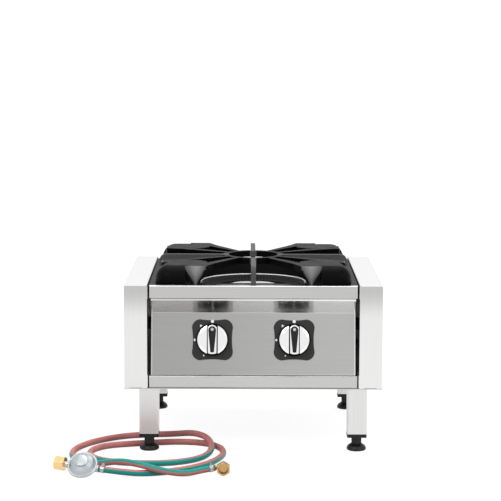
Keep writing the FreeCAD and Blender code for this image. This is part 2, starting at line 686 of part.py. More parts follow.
# ---------------------------------------------------------------- cast pan support
def support_wing():
    """Hollow corner of the casting with round shoulders, in the +X +Y corner."""
    half = SUPPORT_HALF
    solid = box(KEEL_INNER, half, KEEL_INNER, half, SUPPORT_BASE, SUPPORT_TOP)
    solid = solid.makeFillet(SUPPORT_CORNER, edges_at(solid, lambda p: p.x > half - 1 and p.y > half - 1))
    rim = edges_at(solid, lambda p: p.z > SUPPORT_TOP - 1 and (p.x > half - 1 or p.y > half - 1))
    rim = [e for e in rim if max(e.Vertexes[0].X, e.Vertexes[1].X) > KEEL_INNER + 1
           and max(e.Vertexes[0].Y, e.Vertexes[1].Y) > KEEL_INNER + 1]
    solid = solid.makeFillet(SUPPORT_SHOULDER, rim)
    wall = SUPPORT_WALL
    under = SUPPORT_TOP - SUPPORT_PLATE
    core = box(KEEL_INNER - 1, half - wall, KEEL_INNER - 1, half - wall, SUPPORT_BASE - 1, under)
    core = core.makeFillet(SUPPORT_CORNER - wall,
                           edges_at(core, lambda p: p.x > half - wall - 1 and p.y > half - wall - 1))
    rim = edges_at(core, lambda p: p.z > under - 1 and (p.x > half - wall - 1 or p.y > half - wall - 1))
    rim = [e for e in rim if max(e.Vertexes[0].X, e.Vertexes[1].X) > KEEL_INNER
           and max(e.Vertexes[0].Y, e.Vertexes[1].Y) > KEEL_INNER]
    core = core.makeFillet(SUPPORT_SHOULDER - wall, rim)
    solid = solid.cut(core).cut(rod(FLAME_RADIUS, SUPPORT_HEIGHT + 2, Vector(0, 0, SUPPORT_BASE - 1)))
    recess = half - KEEL_LEAN
    seat = box(KEEL_INNER - 1, KEEL_OUTER - 1, recess, half + 1, SUPPORT_BASE - 1, SUPPORT_TOP + 1)
    seat = seat.fuse(box(KEEL_INNER - 1, KEEL_OUTER - 1, half - 2 * SUPPORT_CORNER, half + 1, SUPPORT_BASE - 1, under))
    return solid.cut(seat).cut(seat.mirror(Vector(0, 0, 0), Vector(1, -1, 0)))


def tapered_bar(outer, inner):
    """Solid between two four-sided sections, each given as its four corners in order."""
    wires = [Part.makePolygon(corners + corners[:1]) for corners in (outer, inner)]
    return Part.makeLoft(wires, True, True)


def keel_section(middle, along, width, height):
    """Corners of an upright section, narrower below, square to a direction."""
    across = Vector(-along.y, along.x, 0)
    low = Vector(0, 0, -height)
    wide, narrow = across * (width / 2), across * (width / 3)
    return [middle - wide, middle + wide, middle + narrow + low, middle - narrow + low]


def support_keel():
    """V-shaped lug that leans back from the -Y side, and the finger from it to the middle ring."""
    front = -SUPPORT_HALF
    top = SUPPORT_TOP
    lug = [Vector(-KEEL_OUTER, front + KEEL_LEAN, top), Vector(-KEEL_INNER, front + KEEL_LEAN, top),
           Vector(-KEEL_FOOT_INNER, front, SUPPORT_BASE), Vector(-KEEL_FOOT_OUTER, front, SUPPORT_BASE)]
    head = Vector(-(KEEL_INNER + KEEL_OUTER) / 2, front + KEEL_LEAN, top)
    along = Vector(head.x, head.y, 0).normalize()
    waist = keel_section(head - along * KEEL_DEPTH, along, KEEL_WAIST_WIDTH, KEEL_TIP_HEIGHT)
    seat = along * ((RING_OUTER + RING_INNER) / 2) + Vector(0, 0, top)
    tip = keel_section(seat, along, KEEL_TIP_WIDTH, KEEL_TIP_HEIGHT)
    return fused([tapered_bar(lug, waist), tapered_bar(waist, tip)])


def support_finger():
    """Straight finger in the middle of a side, on a foot at its outer end, along -Y."""
    half = SUPPORT_HALF
    under = SUPPORT_TOP - FINGER_HEIGHT
    shoulder = SUPPORT_SHOULDER / 2
    seat = (RING_OUTER + RING_INNER) / 2
    across = -FINGER_WIDTH / 2
    corners = [(-seat, under), (-(half - 2 * FINGER_FOOT), under), (-(half - FINGER_FOOT), SUPPORT_BASE),
               (-half, SUPPORT_BASE), (-half, SUPPORT_TOP), (-seat, SUPPORT_TOP)]
    edges = fillet_edges(corners, [shoulder, shoulder / 4, 1.0, shoulder], lambda p: Vector(across, p[0], p[1]))
    edges.append(Part.LineSegment(Vector(across, -seat, SUPPORT_TOP), Vector(across, -seat, under)).toShape())
    face = Part.Face(Part.Wire(Part.__sortEdges__(edges)))
    return face.extrude(Vector(FINGER_WIDTH, 0, 0))


def pan_support():
    """Square casting: four corner wings, eight keels and four fingers that meet in a ring."""
    wing = support_wing()
    keel = support_keel()
    finger = support_finger()
    ring = tube(RING_OUTER, RING_INNER, RING_HEIGHT, Vector(0, 0, SUPPORT_TOP - RING_HEIGHT))
    pieces = [ring]
    for quarter in range(4):
        angle = 90 * quarter
        pieces += [turned(wing, angle), turned(keel, angle), turned(mirrored(keel), angle), turned(finger, angle)]
    return fused(pieces)


# ---------------------------------------------------------------- burners
def ring_cap(top, rim, throat, dish, slots, slot_width):
    """Burner crown: a bright rim, a slotted slope falling inwards, and a spigot below."""
    floor = top - dish
    low = floor - CAP_FLOOR
    wall = BURNER_WALL + CAP_GAP
    near = throat + wall
    far = rim - CAP_RIM_WIDTH - wall
    foot = low - CAP_SPIGOT
    profile = [(rim, low), (rim, top), (rim - CAP_RIM_WIDTH, top), (throat + CAP_RIM_WIDTH, floor),
               (throat, floor), (throat, low), (near, low), (near, foot), (near + SPIGOT_WALL, foot),
               (near + SPIGOT_WALL, low), (far - SPIGOT_WALL, low), (far - SPIGOT_WALL, foot), (far, foot),
               (far, low)]
    cap = revolved(profile)
    inner = near + SPIGOT_WALL + slot_width
    outer = far - SPIGOT_WALL - slot_width
    slot = box(inner, outer, -slot_width / 2, slot_width / 2, low - 1, top + 1)
    cutters = [turned(slot, 360.0 * k / slots) for k in range(slots)]
    return cap.cut(Part.makeCompound(cutters))


def channel_body(top, rim, throat):
    """Open ring channel that feeds a burner crown."""
    outer = rim - CAP_RIM_WIDTH
    low = top - CHANNEL_DEPTH
    profile = [(throat, low), (outer, low), (outer, top), (outer - BURNER_WALL, top),
               (outer - BURNER_WALL, low + BURNER_WALL), (throat + BURNER_WALL, low + BURNER_WALL),
               (throat + BURNER_WALL, top), (throat, top)]
    return revolved(profile)


def outer_burner_body():
    """Outer ring channel with a round port in its floor and a lug for the thermocouple."""
    body = channel_body(OUTER_CHANNEL_TOP, OUTER_RIM_RADIUS, OUTER_THROAT_RADIUS)
    x, y = outer_riser()
    body = body.cut(rod(MIXER_BORE / 2, 2 * BURNER_WALL, Vector(x, y, CARRIER_TOP - BURNER_WALL / 2)))
    return with_lug(body, OUTER_RIM_RADIUS, OUTER_PROBE_ANGLE, BURNER_TOP)


def inner_burner_body():
    """Inner cup with a round port in its floor and a lug for the thermocouple."""
    top = INNER_CHANNEL_TOP
    outer = INNER_RIM_RADIUS - CAP_RIM_WIDTH
    low = CARRIER_TOP
    throat = INNER_THROAT_RADIUS
    profile = [(0, low), (outer, low), (outer, top), (outer - BURNER_WALL, top),
               (outer - BURNER_WALL, low + BURNER_WALL), (throat + BURNER_WALL, low + BURNER_WALL),
               (throat + BURNER_WALL, top), (throat, top), (throat, low + BURNER_WALL), (0, low + BURNER_WALL)]
    body = revolved(profile).cut(rod(MIXER_BORE / 2, 2 * BURNER_WALL, Vector(0, 0, low - BURNER_WALL / 2)))
    return with_lug(body, INNER_RIM_RADIUS, INNER_PROBE_ANGLE, INNER_TOP)


def with_lug(body, rim, angle, top):
    """Burner body with a drilled lug on its side that holds a thermocouple."""
    radius = rim + PROBE_CLEARANCE
    low = lug_top(top) - LUG_THICKNESS
    bar = box(rim - CAP_RIM_WIDTH - 1, radius + 2 * PROBE_RADIUS, -2 * PROBE_RADIUS, 2 * PROBE_RADIUS,
              low, lug_top(top))
    bar = turned(bar.cut(rod(PROBE_RADIUS, 2 * LUG_THICKNESS, Vector(radius, 0, low - 1))), angle)
    return fused([body, bar])


def lug_top(top):
    """Height of the lug for a burner whose rim is at top."""
    return top + PROBE_RISE - PROBE_HEIGHT + LUG_THICKNESS + 1.0


def outer_riser():
    """Place of the outer burner's port: behind the left tap, on the middle line of the channel."""
    middle = (OUTER_RIM_RADIUS - CAP_RIM_WIDTH + OUTER_THROAT_RADIUS) / 2
    return -FEED_X, -math.sqrt(middle ** 2 - FEED_X ** 2)


def mixing_tube(length, riser_top):
    """Horizontal mixing tube along +Y with a bell mouth, an injector yoke and a riser at its end."""
    bell = [(MIXER_BORE, length), (MIXER_OUTER, length), (MIXER_OUTER, MIXER_BELL),
            (MIXER_BELL + MIXER_WALL, 0), (MIXER_BELL, 0), (MIXER_BORE, MIXER_BELL - MIXER_WALL)]
    pipe = revolved(bell)
    end = rod(MIXER_OUTER, MIXER_WALL, Vector(0, 0, length))
    yoke = tube(INJECTOR_RADIUS + MIXER_WALL, INJECTOR_RADIUS, MIXER_WALL + 2, Vector(0, 0, -YOKE_LENGTH))
    struts = [Part.Face(Part.makePolygon([Vector(side * r, -4, z) for r, z in (
        (INJECTOR_RADIUS + 0.5, -YOKE_LENGTH), (INJECTOR_RADIUS + MIXER_WALL, -YOKE_LENGTH),
        (MIXER_BELL + MIXER_WALL - 1, 0), (MIXER_BELL + 0.5, 1), (INJECTOR_RADIUS + 0.5, -YOKE_LENGTH + 5),
        (INJECTOR_RADIUS + 0.5, -YOKE_LENGTH))])).extrude(Vector(0, 8, 0)) for side in (-1, 1)]
    whole = fused([pipe, end, yoke] + struts)
    whole.rotate(Vector(0, 0, 0), X_AXIS, -90)
    whole.translate(Vector(0, 0, MIXER_AXIS_Z))
    riser_y = length - MIXER_OUTER
    riser = rod(MIXER_OUTER - 1, riser_top - MIXER_AXIS_Z, Vector(0, riser_y, MIXER_AXIS_Z))
    riser = riser.cut(rod(MIXER_BORE, length, Vector(0, 0, MIXER_AXIS_Z), Y_AXIS))
    whole = fused([whole, riser])
    return whole.cut(rod(MIXER_BORE / 2, 2 * CHANNEL_DEPTH, Vector(0, riser_y, MIXER_AXIS_Z)))


def outer_mixing_tube():
    """Mixing tube of the outer ring, straight back from the left valve."""
    x, y = outer_riser()
    start = OUTER_MIXER_Y
    return moved(mixing_tube(y - start + MIXER_OUTER, CARRIER_TOP), Vector(x, start, 0))


def inner_mixing_tube():
    """Mixing tube of the inner ring, slanted from the right valve to the middle."""
    shape = moved(mixing_tube(INNER_MIXER_START + MIXER_OUTER, CARRIER_TOP), Vector(0, -INNER_MIXER_START, 0))
    return turned(shape, INNER_MIXER_TURN)


def injector():
    """Brass injector along +Y for a mouth at y = 0: a nozzle, a neck in the yoke and a hexagon."""
    third = INJECTOR_LENGTH / 3
    head = hexagon(2 * INJECTOR_RADIUS, third, Vector(0, -YOKE_LENGTH - third, MIXER_AXIS_Z),
                   Y_AXIS)
    neck = rod(INJECTOR_RADIUS, MIXER_WALL + 2, Vector(0, -YOKE_LENGTH, MIXER_AXIS_Z), Y_AXIS)
    tip = rod(NOZZLE_RADIUS, YOKE_LENGTH / 2, Vector(0, -YOKE_LENGTH, MIXER_AXIS_Z), Y_AXIS)
    shape = fused([head, neck, tip])
    start = Vector(0, -YOKE_LENGTH - INJECTOR_LENGTH, MIXER_AXIS_Z)
    drill = rod(NOZZLE_RADIUS / 2, YOKE_LENGTH, start, Y_AXIS)
    return shape.cut(drill)


def injector_seats():
    """Rear end of each injector and the way it points, left one first."""
    reach = YOKE_LENGTH + INJECTOR_LENGTH / 3
    x, _ = outer_riser()
    way = turned_vector(Y_AXIS, INNER_MIXER_TURN)
    inner = way * -(INNER_MIXER_START + reach) + Vector(0, 0, MIXER_AXIS_Z)
    return (Vector(x, OUTER_MIXER_Y - reach, MIXER_AXIS_Z), Y_AXIS), (inner, way)


def injectors():
    """Both injectors in place."""
    x, _ = outer_riser()
    left = moved(injector(), Vector(x, OUTER_MIXER_Y, 0))
    right = turned(moved(injector(), Vector(0, -INNER_MIXER_START, 0)), INNER_MIXER_TURN)
    return Part.makeCompound([left, right])


# ---------------------------------------------------------------- knobs and valves
def knob_plate():
    """Square plate behind a knob with round corners and drawn-in sides."""
    half = PLATE_SIDE / 2
    corner = half - PLATE_CORNER
    edges = []
    for quarter in range(4):
        turn = Rotation(Z_AXIS, 90 * quarter)
        side = [Vector(-corner, half, 0), Vector(0, half - PLATE_WAIST, 0), Vector(corner, half, 0)]
        bow = PLATE_CORNER * math.sqrt(0.5)
        round_end = [Vector(corner, half, 0), Vector(corner + bow, corner + bow, 0), Vector(half, corner, 0)]
        for three in (side, round_end):
            edges.append(Part.Arc(*[turn.multVec(p) for p in three]).toShape())
    plate = Part.Face(Part.Wire(Part.__sortEdges__(edges))).extrude(Vector(0, 0, PLATE_THICKNESS))
    plate = plate.cut(rod(KNOB_RADIUS - KNOB_WALL, PLATE_THICKNESS, Vector(0, 0, PLATE_THICKNESS - 1)))
    return plate.cut(rod(PANEL_HOLE_RADIUS, PLATE_THICKNESS * 2, Vector(0, 0, -1)))


def grip_outline(width, foot_width, half_length, end_radius, z):
    """Outline of the grip bar: round top end, straight sides, slightly rounded foot."""
    top, foot = width / 2, foot_width / 2
    shoulder = half_length - end_radius
    edges = [Part.Arc(Vector(-top, shoulder, z), Vector(0, half_length, z), Vector(top, shoulder, z)).toShape(),
             Part.LineSegment(Vector(top, shoulder, z), Vector(foot, -half_length + 2, z)).toShape(),
             Part.Arc(Vector(foot, -half_length + 2, z), Vector(0, -half_length, z),
                      Vector(-foot, -half_length + 2, z)).toShape(),
             Part.LineSegment(Vector(-foot, -half_length + 2, z), Vector(-top, shoulder, z)).toShape()]
    return Part.Face(Part.Wire(Part.__sortEdges__(edges)))


def knob_parts():
    """Pieces of one knob in the panel's frame, as a name to shape table."""
    low = KNOB_BASE
    face = low + KNOB_SKIRT_HEIGHT
    bore = STEM_RADIUS + STEM_GAP
    skirt_profile = [(bore, low - 1), (HUB_RADIUS, low - 1), (HUB_RADIUS, face - 4), (KNOB_FACE_RADIUS, face - 4),
                     (KNOB_FACE_RADIUS, low), (KNOB_RADIUS, low), (KNOB_RADIUS, face - 2),
                     (KNOB_RADIUS - 1.5, face + 0.8), (KNOB_FACE_RADIUS, face + 0.8),
                     (KNOB_FACE_RADIUS, face - 1.5), (0, face - 1.5), (0, face - 3), (bore, face - 3)]
    skirt = revolved(skirt_profile)
    edge = KNOB_FACE_RADIUS - FIT_GAP / 3
    disc_profile = [(0, face - 1.5), (edge, face - 1.5), (edge, face + 0.6), (edge * 0.86, face + 2.0),
                    (edge * 0.55, face + 1.0), (0, face + 0.2)]
    disc = revolved(disc_profile)
    channel = GRIP_WIDTH + 2 * GROOVE_WIDTH
    disc = disc.cut(box(-channel / 2, channel / 2, -KNOB_RADIUS, KNOB_RADIUS, face - 2, face + 4))
    grip = grip_outline(GRIP_WIDTH, GRIP_WIDTH - 1.0, GRIP_REACH, GRIP_END_RADIUS, face - 1.5)
    grip = grip.extrude(Vector(0, 0, GRIP_HEIGHT + 1.5))
    top = edges_at(grip, lambda p: p.z > face + GRIP_HEIGHT - 0.1)
    grip = grip.makeFillet(GRIP_EDGE, top)
    length = GRIP_REACH - INSERT_END
    pocket = grip_outline(INSERT_TOP_WIDTH, INSERT_FOOT_WIDTH, length, GRIP_END_RADIUS * 0.7,
                          GRIP_TOP - INSERT_DEPTH)
    insert = pocket.extrude(Vector(0, 0, INSERT_DEPTH + INSERT_RISE))
    grip = grip.cut(pocket.extrude(Vector(0, 0, 2 * INSERT_DEPTH)))
    return {"knob_skirt": skirt, "knob_face": disc, "knob_grip": grip, "knob_insert": insert}


def stem():
    """Steel valve stem with a flat on its front end, in the panel's frame."""
    top = KNOB_BASE + KNOB_SKIRT_HEIGHT - 4 - KNOB_PUSH - 1
    low = -SHEET - VALVE_DEPTH / 3
    shape = rod(STEM_RADIUS, top - low, Vector(0, 0, low))
    flat = box(STEM_RADIUS - STEM_FLAT, STEM_RADIUS + 1, -STEM_RADIUS, STEM_RADIUS, KNOB_BASE, top + 1)
    return shape.cut(flat)


def valve_body():
    """Brass tap behind the panel: neck, block, magnet unit and outlet, in the panel's frame."""
    back = -SHEET - FIT_GAP
    neck = rod(VALVE_HUB_RADIUS, 8.0, Vector(0, 0, back - 6.0))
    block = box(-VALVE_WIDTH / 2, VALVE_WIDTH / 2, -MANIFOLD_DROP, VALVE_HEIGHT - MANIFOLD_DROP + 14,
                back - VALVE_DEPTH, back - 4.0)
    magnet = rod(MAGNET_RADIUS, MAGNET_LENGTH, Vector(0, 0, back - VALVE_DEPTH - MAGNET_LENGTH))
    lug = hexagon(2 * MAGNET_RADIUS + 2, 6.0, Vector(0, 0, back - VALVE_DEPTH - 6.0))
    shape = fused([neck, block, magnet, lug])
    depth = VALVE_DEPTH / 3 + SHEET + 2.0
    start = Vector(-VALVE_WIDTH, -MANIFOLD_DROP, back - MANIFOLD_BACK)
    saddle = rod(MANIFOLD_RADIUS, 2 * VALVE_WIDTH, start, X_AXIS)
    return shape.cut(saddle).cut(rod(STEM_RADIUS + STEM_GAP, depth + 2, Vector(0, 0, -depth)))


# ---------------------------------------------------------------- gas pipes
def manifold_point():
    """Height and depth of the manifold's axis below and behind the knobs."""
    return panel_frame(0).multVec(Vector(0, -MANIFOLD_DROP, -SHEET - FIT_GAP - MANIFOLD_BACK))


def inlet_z():
    """Height of the gas inlet."""
    return manifold_point().z


def gas_manifold():
    """Pipe behind the panel that feeds both taps and runs back to the inlet."""
    at = manifold_point()
    points = [Vector(MANIFOLD_LEFT, at.y, at.z), Vector(INLET_X, at.y, at.z),
              Vector(INLET_X, REAR - SHEET - INLET_NUT_LENGTH, at.z)]
    pipe, _ = bent_tube(points, MANIFOLD_RADIUS, MANIFOLD_RADIUS - MANIFOLD_WALL, [INLET_BEND])
    plug = rod(MANIFOLD_RADIUS, MANIFOLD_WALL, Vector(MANIFOLD_LEFT - MANIFOLD_WALL, at.y, at.z), X_AXIS)
    return fused([pipe, plug])


def inlet_nipple():
    """Threaded male inlet through the rear panel, with its hexagon inside."""
    start = REAR - SHEET - INLET_NUT_LENGTH
    z = inlet_z()
    nut = hexagon(INLET_NUT_FLATS, INLET_NUT_LENGTH, Vector(INLET_X, start, z), Y_AXIS)
    thread = rod(INLET_THREAD_RADIUS, INLET_END - start, Vector(INLET_X, start, z), Y_AXIS)
    bore = rod(MANIFOLD_RADIUS - MANIFOLD_WALL, INLET_END - start + 2, Vector(INLET_X, start - 1, z), Y_AXIS)
    return fused([nut, thread]).cut(bore)


def valve_outlet(side):
    """Top of a tap, where its feed pipe starts."""
    local = Vector(0, VALVE_HEIGHT - MANIFOLD_DROP + 14, -SHEET - FIT_GAP - VALVE_DEPTH / 2)
    return panel_frame(side * KNOB_SPACING / 2).multVec(local)


def feed_pipe(side, seat, way):
    """Pipe from a tap up and back to an injector whose seat and way are given."""
    start = valve_outlet(side) + Z_AXIS * (FEED_RADIUS * math.tan(TILT) + 0.05)
    rise = Vector(start.x, start.y, MIXER_AXIS_Z)
    straight = abs(way.x) < 0.001
    points = [start, rise, seat] if straight else [start, rise, seat - way * FEED_LEAD, seat]
    radii = [0.8 * (rise - start).Length, FEED_BEND][:len(points) - 2]
    pipe, _ = bent_tube(points, FEED_RADIUS, FEED_RADIUS - 1.0, radii)
    return pipe


def thermocouple(rim, angle, top, side, turns):
    """Probe beside a burner rim with its collar, and the lead down and forward to a tap."""
    foot = turned_vector(Vector(rim + PROBE_CLEARANCE, 0, top + PROBE_RISE - PROBE_HEIGHT), angle)
    tip = rod(PROBE_RADIUS, PROBE_HEIGHT, foot)
    collar = rod(PROBE_RADIUS + 1.5, PROBE_COLLAR, Vector(foot.x, foot.y, lug_top(top)))
    end = panel_frame(side * FEED_X).multVec(Vector(0, 0, -SHEET - FIT_GAP - VALVE_DEPTH - MAGNET_LENGTH))
    points = [foot, Vector(foot.x, foot.y, turns[0])] + [Vector(*turn) for turn in turns[1:]] + [end]
    lead, _ = bent_tube(points, PROBE_LEAD_RADIUS)
    return fused([tip, collar, lead])


# ---------------------------------------------------------------- fasteners
def screw(at, axis):
    """Pan head screw: the head's under face is at the point, the shank goes the other way."""
    head = rod(SCREW_HEAD_RADIUS, SCREW_HEAD_HEIGHT, at, axis)
    outer = [e for e in head.Edges if (e.CenterOfMass - at).Length > SCREW_HEAD_HEIGHT / 2]
    head = head.makeChamfer(0.8, outer)
    shank = rod(SCREW_SHANK_RADIUS, SCREW_SHANK, at, axis * -1)
    return fused([head, shank])


def rear_screw_points():
    """Places of the screws that join the rear panel to the hob tray."""
    middle = (REAR_SCREWS - 1) / 2
    return [Vector((k - middle) * REAR_SCREW_PITCH, REAR, REAR_SCREW_Z) for k in range(REAR_SCREWS)]


def rear_screws():
    """Screws through the rear panel into the flange of the hob tray."""
    return Part.makeCompound([screw(at, Y_AXIS) for at in rear_screw_points()])


def bolt_points():
    """Places of the bolts, two over each leg."""
    return [(x * (LEG_X - BOLT_INSET), y * LEG_Y + shift) for _, x, y in CORNERS
            for shift in (-BOLT_SPACING / 2, BOLT_SPACING / 2)]


def bolt_shank(x, y):
    """Shank of a bolt, through the base plate and the leg's top plate."""
    return rod(BOLT_SHANK_RADIUS, 5 * LEG_WALL, Vector(x, y, FLOOR_TOP - 5 * LEG_WALL))


def leg_bolts():
    """Hexagon bolts down through the base plate into the legs."""
    return Part.makeCompound([fused([hexagon(BOLT_FLATS, BOLT_HEAD, Vector(x, y, FLOOR_TOP)), bolt_shank(x, y)])
                              for x, y in bolt_points()])


# ---------------------------------------------------------------- regulator, hose and end fitting
def regulator_shell():
    """Two shallow domes on a rim, with a boss for the inlet and a ribbed tail for the hose."""
    half = REGULATOR_RIM / 2
    rim = REGULATOR_RADIUS
    profile = [(0, -REGULATOR_BELLY), (rim * 0.45, -REGULATOR_BELLY), (rim * 0.8, -half - 3), (rim - 2, -half),
               (rim, -half + 1), (rim, half - 1), (rim - 1, half), (rim - 4, half), (rim * 0.72, REGULATOR_DOME * 0.72),
               (REGULATOR_CAP_RADIUS + 1.5, REGULATOR_DOME), (0, REGULATOR_DOME)]
    bosses = rod(PORT_RADIUS, 2 * PORT_REACH, Vector(-PORT_REACH, 0, -PORT_DROP), X_AXIS)
    tail = rod(TAIL_RADIUS, TAIL_LENGTH + 1, Vector(PORT_REACH - 1, 0, -PORT_DROP), X_AXIS)
    return fused([revolved(profile), bosses, tail])


def regulator_frame():
    """Frame of the regulator, tilted onto its rim so that it just touches the floor."""
    spin = Rotation(Z_AXIS, REGULATOR_TURN).multiply(Rotation(Y_AXIS, REGULATOR_ROLL))
    spin = spin.multiply(Rotation(X_AXIS, REGULATOR_TILT))
    frame = Placement(Vector(REGULATOR_X, REGULATOR_Y, 0), spin)
    lowest = placed(regulator_shell(), frame).optimalBoundingBox().ZMin
    return Placement(Vector(REGULATOR_X, REGULATOR_Y, 0.05 - lowest), spin)


def regulator_cap():
    """Domed cover in the middle of the upper dome."""
    radius = REGULATOR_CAP_RADIUS
    top = REGULATOR_DOME + REGULATOR_CAP_HEIGHT
    return revolved([(0, REGULATOR_DOME), (radius, REGULATOR_DOME), (radius, top - 1.2), (radius - 1.2, top - 0.2),
                     (radius * 0.5, top + 0.8), (0, top + 1)])


def regulator_nipple():
    """Steel inlet nipple with a collar that holds the union nut, along -X."""
    start = Vector(-PORT_REACH, 0, -PORT_DROP)
    wall = UNION_START - PORT_REACH + UNION_WALL + NIPPLE_GAP
    neck = rod(NIPPLE_RADIUS, wall + COLLAR_LENGTH, start, X_AXIS * -1)
    collar = rod(NIPPLE_COLLAR, COLLAR_LENGTH, start - X_AXIS * wall, X_AXIS * -1)
    bore = rod(NIPPLE_RADIUS / 2, wall + COLLAR_LENGTH, start - X_AXIS, X_AXIS * -1)
    return fused([neck, collar]).cut(bore)


def swivel_nut(flats, length, wall, bore):
    """Loose nut along -X from x = 0: a back wall with a hole, a relief for a collar, and a bore."""
    relief = 2 * NIPPLE_GAP + COLLAR_LENGTH
    corner = flats / math.sqrt(3) + 0.1
    nut = hexagon(flats, length, Vector(0, 0, 0), X_AXIS * -1)
    edge = revolved([(0, 0), (flats / 2, 0), (corner, NUT_CHAMFER), (corner, length - NUT_CHAMFER),
                     (flats / 2, length), (0, length)])
    edge.rotate(Vector(0, 0, 0), Y_AXIS, -90)
    nut = nut.common(edge)
    nut = nut.cut(rod(NIPPLE_RADIUS + NIPPLE_GAP, length, Vector(1, 0, 0), X_AXIS * -1))
    nut = nut.cut(rod(bore + THREAD_RELIEF, relief, Vector(-wall, 0, 0), X_AXIS * -1))
    return nut.cut(rod(bore, length, Vector(-wall, 0, 0), X_AXIS * -1))


def union_nut():
    """Union nut of the regulator's inlet."""
    nut = swivel_nut(UNION_FLATS, UNION_LENGTH, UNION_WALL, UNION_BORE)
    return moved(nut, Vector(-UNION_START, 0, -PORT_DROP))


def hose_points():
    """Points of the hose's route, from the regulator's tail to the end elbow."""
    frame = regulator_frame()
    start = frame.multVec(Vector(PORT_REACH, 0, -PORT_DROP))
    route = [Vector(*point) for point in HOSE_ROUTE]
    first = start + frame.Rotation.multVec(X_AXIS) * HOSE_LEAD
    way = (END_CORNER - route[-1]).normalize()
    return [start, first] + route + [END_CORNER - way * END_REACH]


def gas_hose():
    """Hose along its route, bored at both ends for the tails it is pushed on."""
    points = hose_points()
    hose, radii = bent_tube(points, HOSE_RADIUS)
    print("hose ends", points[0], points[1], points[-1])
    print("hose radii", [round(r) for r in radii])
    print("hose length", round(hose.Volume / (math.pi * HOSE_RADIUS ** 2)))
    for end, inner in ((points[0], points[1]), (points[-1], points[-2])):
        hose = hose.cut(rod(TAIL_RADIUS, TAIL_LENGTH, end, inner - end))
    return hose


def hose_clamps():
    """Band clamp with a screw lug near each end of the hose."""
    points = hose_points()
    clamps = []
    for end, inner in ((points[0], points[1]), (points[-1], points[-2])):
        band = tube(HOSE_RADIUS + CLAMP_BAND, HOSE_RADIUS, CLAMP_WIDTH)
        low = HOSE_RADIUS + CLAMP_BAND / 2
        lug = box(-3.5, 3.5, low, low + 5.0, CLAMP_WIDTH / 2 - 2.5, CLAMP_WIDTH / 2 + 2.5)
        clamp = fused([band, lug])
        way = (inner - end).normalize()
        side = Vector(0, 0, 1).cross(way).normalize()
        clamp.Placement = Placement(end + way * CLAMP_SETBACK, Rotation(side, way.cross(side), way, "ZXY"))
        clamps.append(clamp)
    return Part.makeCompound(clamps)


def end_elbow():
    """Brass elbow from the hose to its swivel nut, which faces the front."""
    hose_end = hose_points()[-1]
    way = (END_CORNER - hose_end).normalize()
    start = hose_end - way * TAIL_LENGTH
    face = END_NUT_AT + END_NUT_WALL + NIPPLE_GAP
    points = [hose_end, END_CORNER, END_CORNER - Y_AXIS * (face + COLLAR_LENGTH)]
    bend, _ = bent_tube(points, NIPPLE_RADIUS, 0.0, [END_BEND])
    tail = rod(TAIL_RADIUS, TAIL_LENGTH + 1, start, way)
    collar = rod(NIPPLE_COLLAR - 0.5, COLLAR_LENGTH, END_CORNER - Y_AXIS * face, Y_AXIS * -1)
    return fused([bend, tail, collar])


def end_nut():
    """Swivel nut of the elbow."""
    nut = swivel_nut(END_NUT_FLATS, END_NUT_LENGTH, END_NUT_WALL, END_NUT_BORE)
    nut.rotate(Vector(0, 0, 0), X_AXIS, 30)
    nut.rotate(Vector(0, 0, 0), Z_AXIS, 90)
    return moved(nut, END_CORNER - Y_AXIS * END_NUT_AT)


# ---------------------------------------------------------------- whole range
def save_body():
    """Sheet-metal body and its fasteners."""
    cheek = right_cheek()
    save("right_cheek", cheek)
    save("left_cheek", mirrored(cheek))
    save("hob_tray", hob_tray())
    save("control_panel", control_panel())
    save("bottom_rail", bottom_rail())
    save("rear_panel", rear_panel())
    save("base_plate", base_plate())
    save("front_crossbar", front_crossbar())
    save("rear_crossbar", crossbar(CROSSBAR_REAR_Y, -1))
    save("inner_burner_bars", inner_burner_bars())
    for name, side in SIDES:
        save(name + "_carrier", burner_carrier(side))
    save("rear_screws", rear_screws())
    save("leg_bolts", leg_bolts())


def save_legs():
    """Four legs, their plugs and their screw feet."""
    holes = Part.makeCompound([bolt_shank(x, y) for x, y in bolt_points()])
    plugs = []
    for name, x, y in CORNERS:
        at = Vector(x * LEG_X, y * LEG_Y, 0)
        save("leg_" + name, moved(leg(), at).cut(holes))
        save("foot_" + name, moved(screw_foot(), at))
        plugs.append(moved(leg_plug(), at))
    save("leg_plugs", Part.makeCompound(plugs))


def save_burners():
    """Pan support, both burners and what feeds them."""
    save("pan_support", pan_support())
    save("outer_burner_body", outer_burner_body())
    save("outer_burner_cap", ring_cap(BURNER_TOP, OUTER_RIM_RADIUS, OUTER_THROAT_RADIUS, OUTER_DISH,
                                      OUTER_SLOTS, OUTER_SLOT_WIDTH))
    save("inner_burner_body", inner_burner_body())
    save("inner_burner_cap", ring_cap(INNER_TOP, INNER_RIM_RADIUS, INNER_THROAT_RADIUS, INNER_DISH,
                                      INNER_SLOTS, INNER_SLOT_WIDTH))
    save("outer_mixing_tube", outer_mixing_tube())
    save("inner_mixing_tube", inner_mixing_tube())
    save("injectors", injectors())
    outer_turns = (262.0, (-70.0, -125.0, 232.0), (-FEED_X, -140.0, 236.0))
    inner_turns = (255.0, (40.0, -90.0, 228.0), (FEED_X, -130.0, 234.0))
    save("outer_thermocouple", thermocouple(OUTER_RIM_RADIUS, OUTER_PROBE_ANGLE, BURNER_TOP, -1, outer_turns))
    save("inner_thermocouple", thermocouple(INNER_RIM_RADIUS, INNER_PROBE_ANGLE, INNER_TOP, 1, inner_turns))


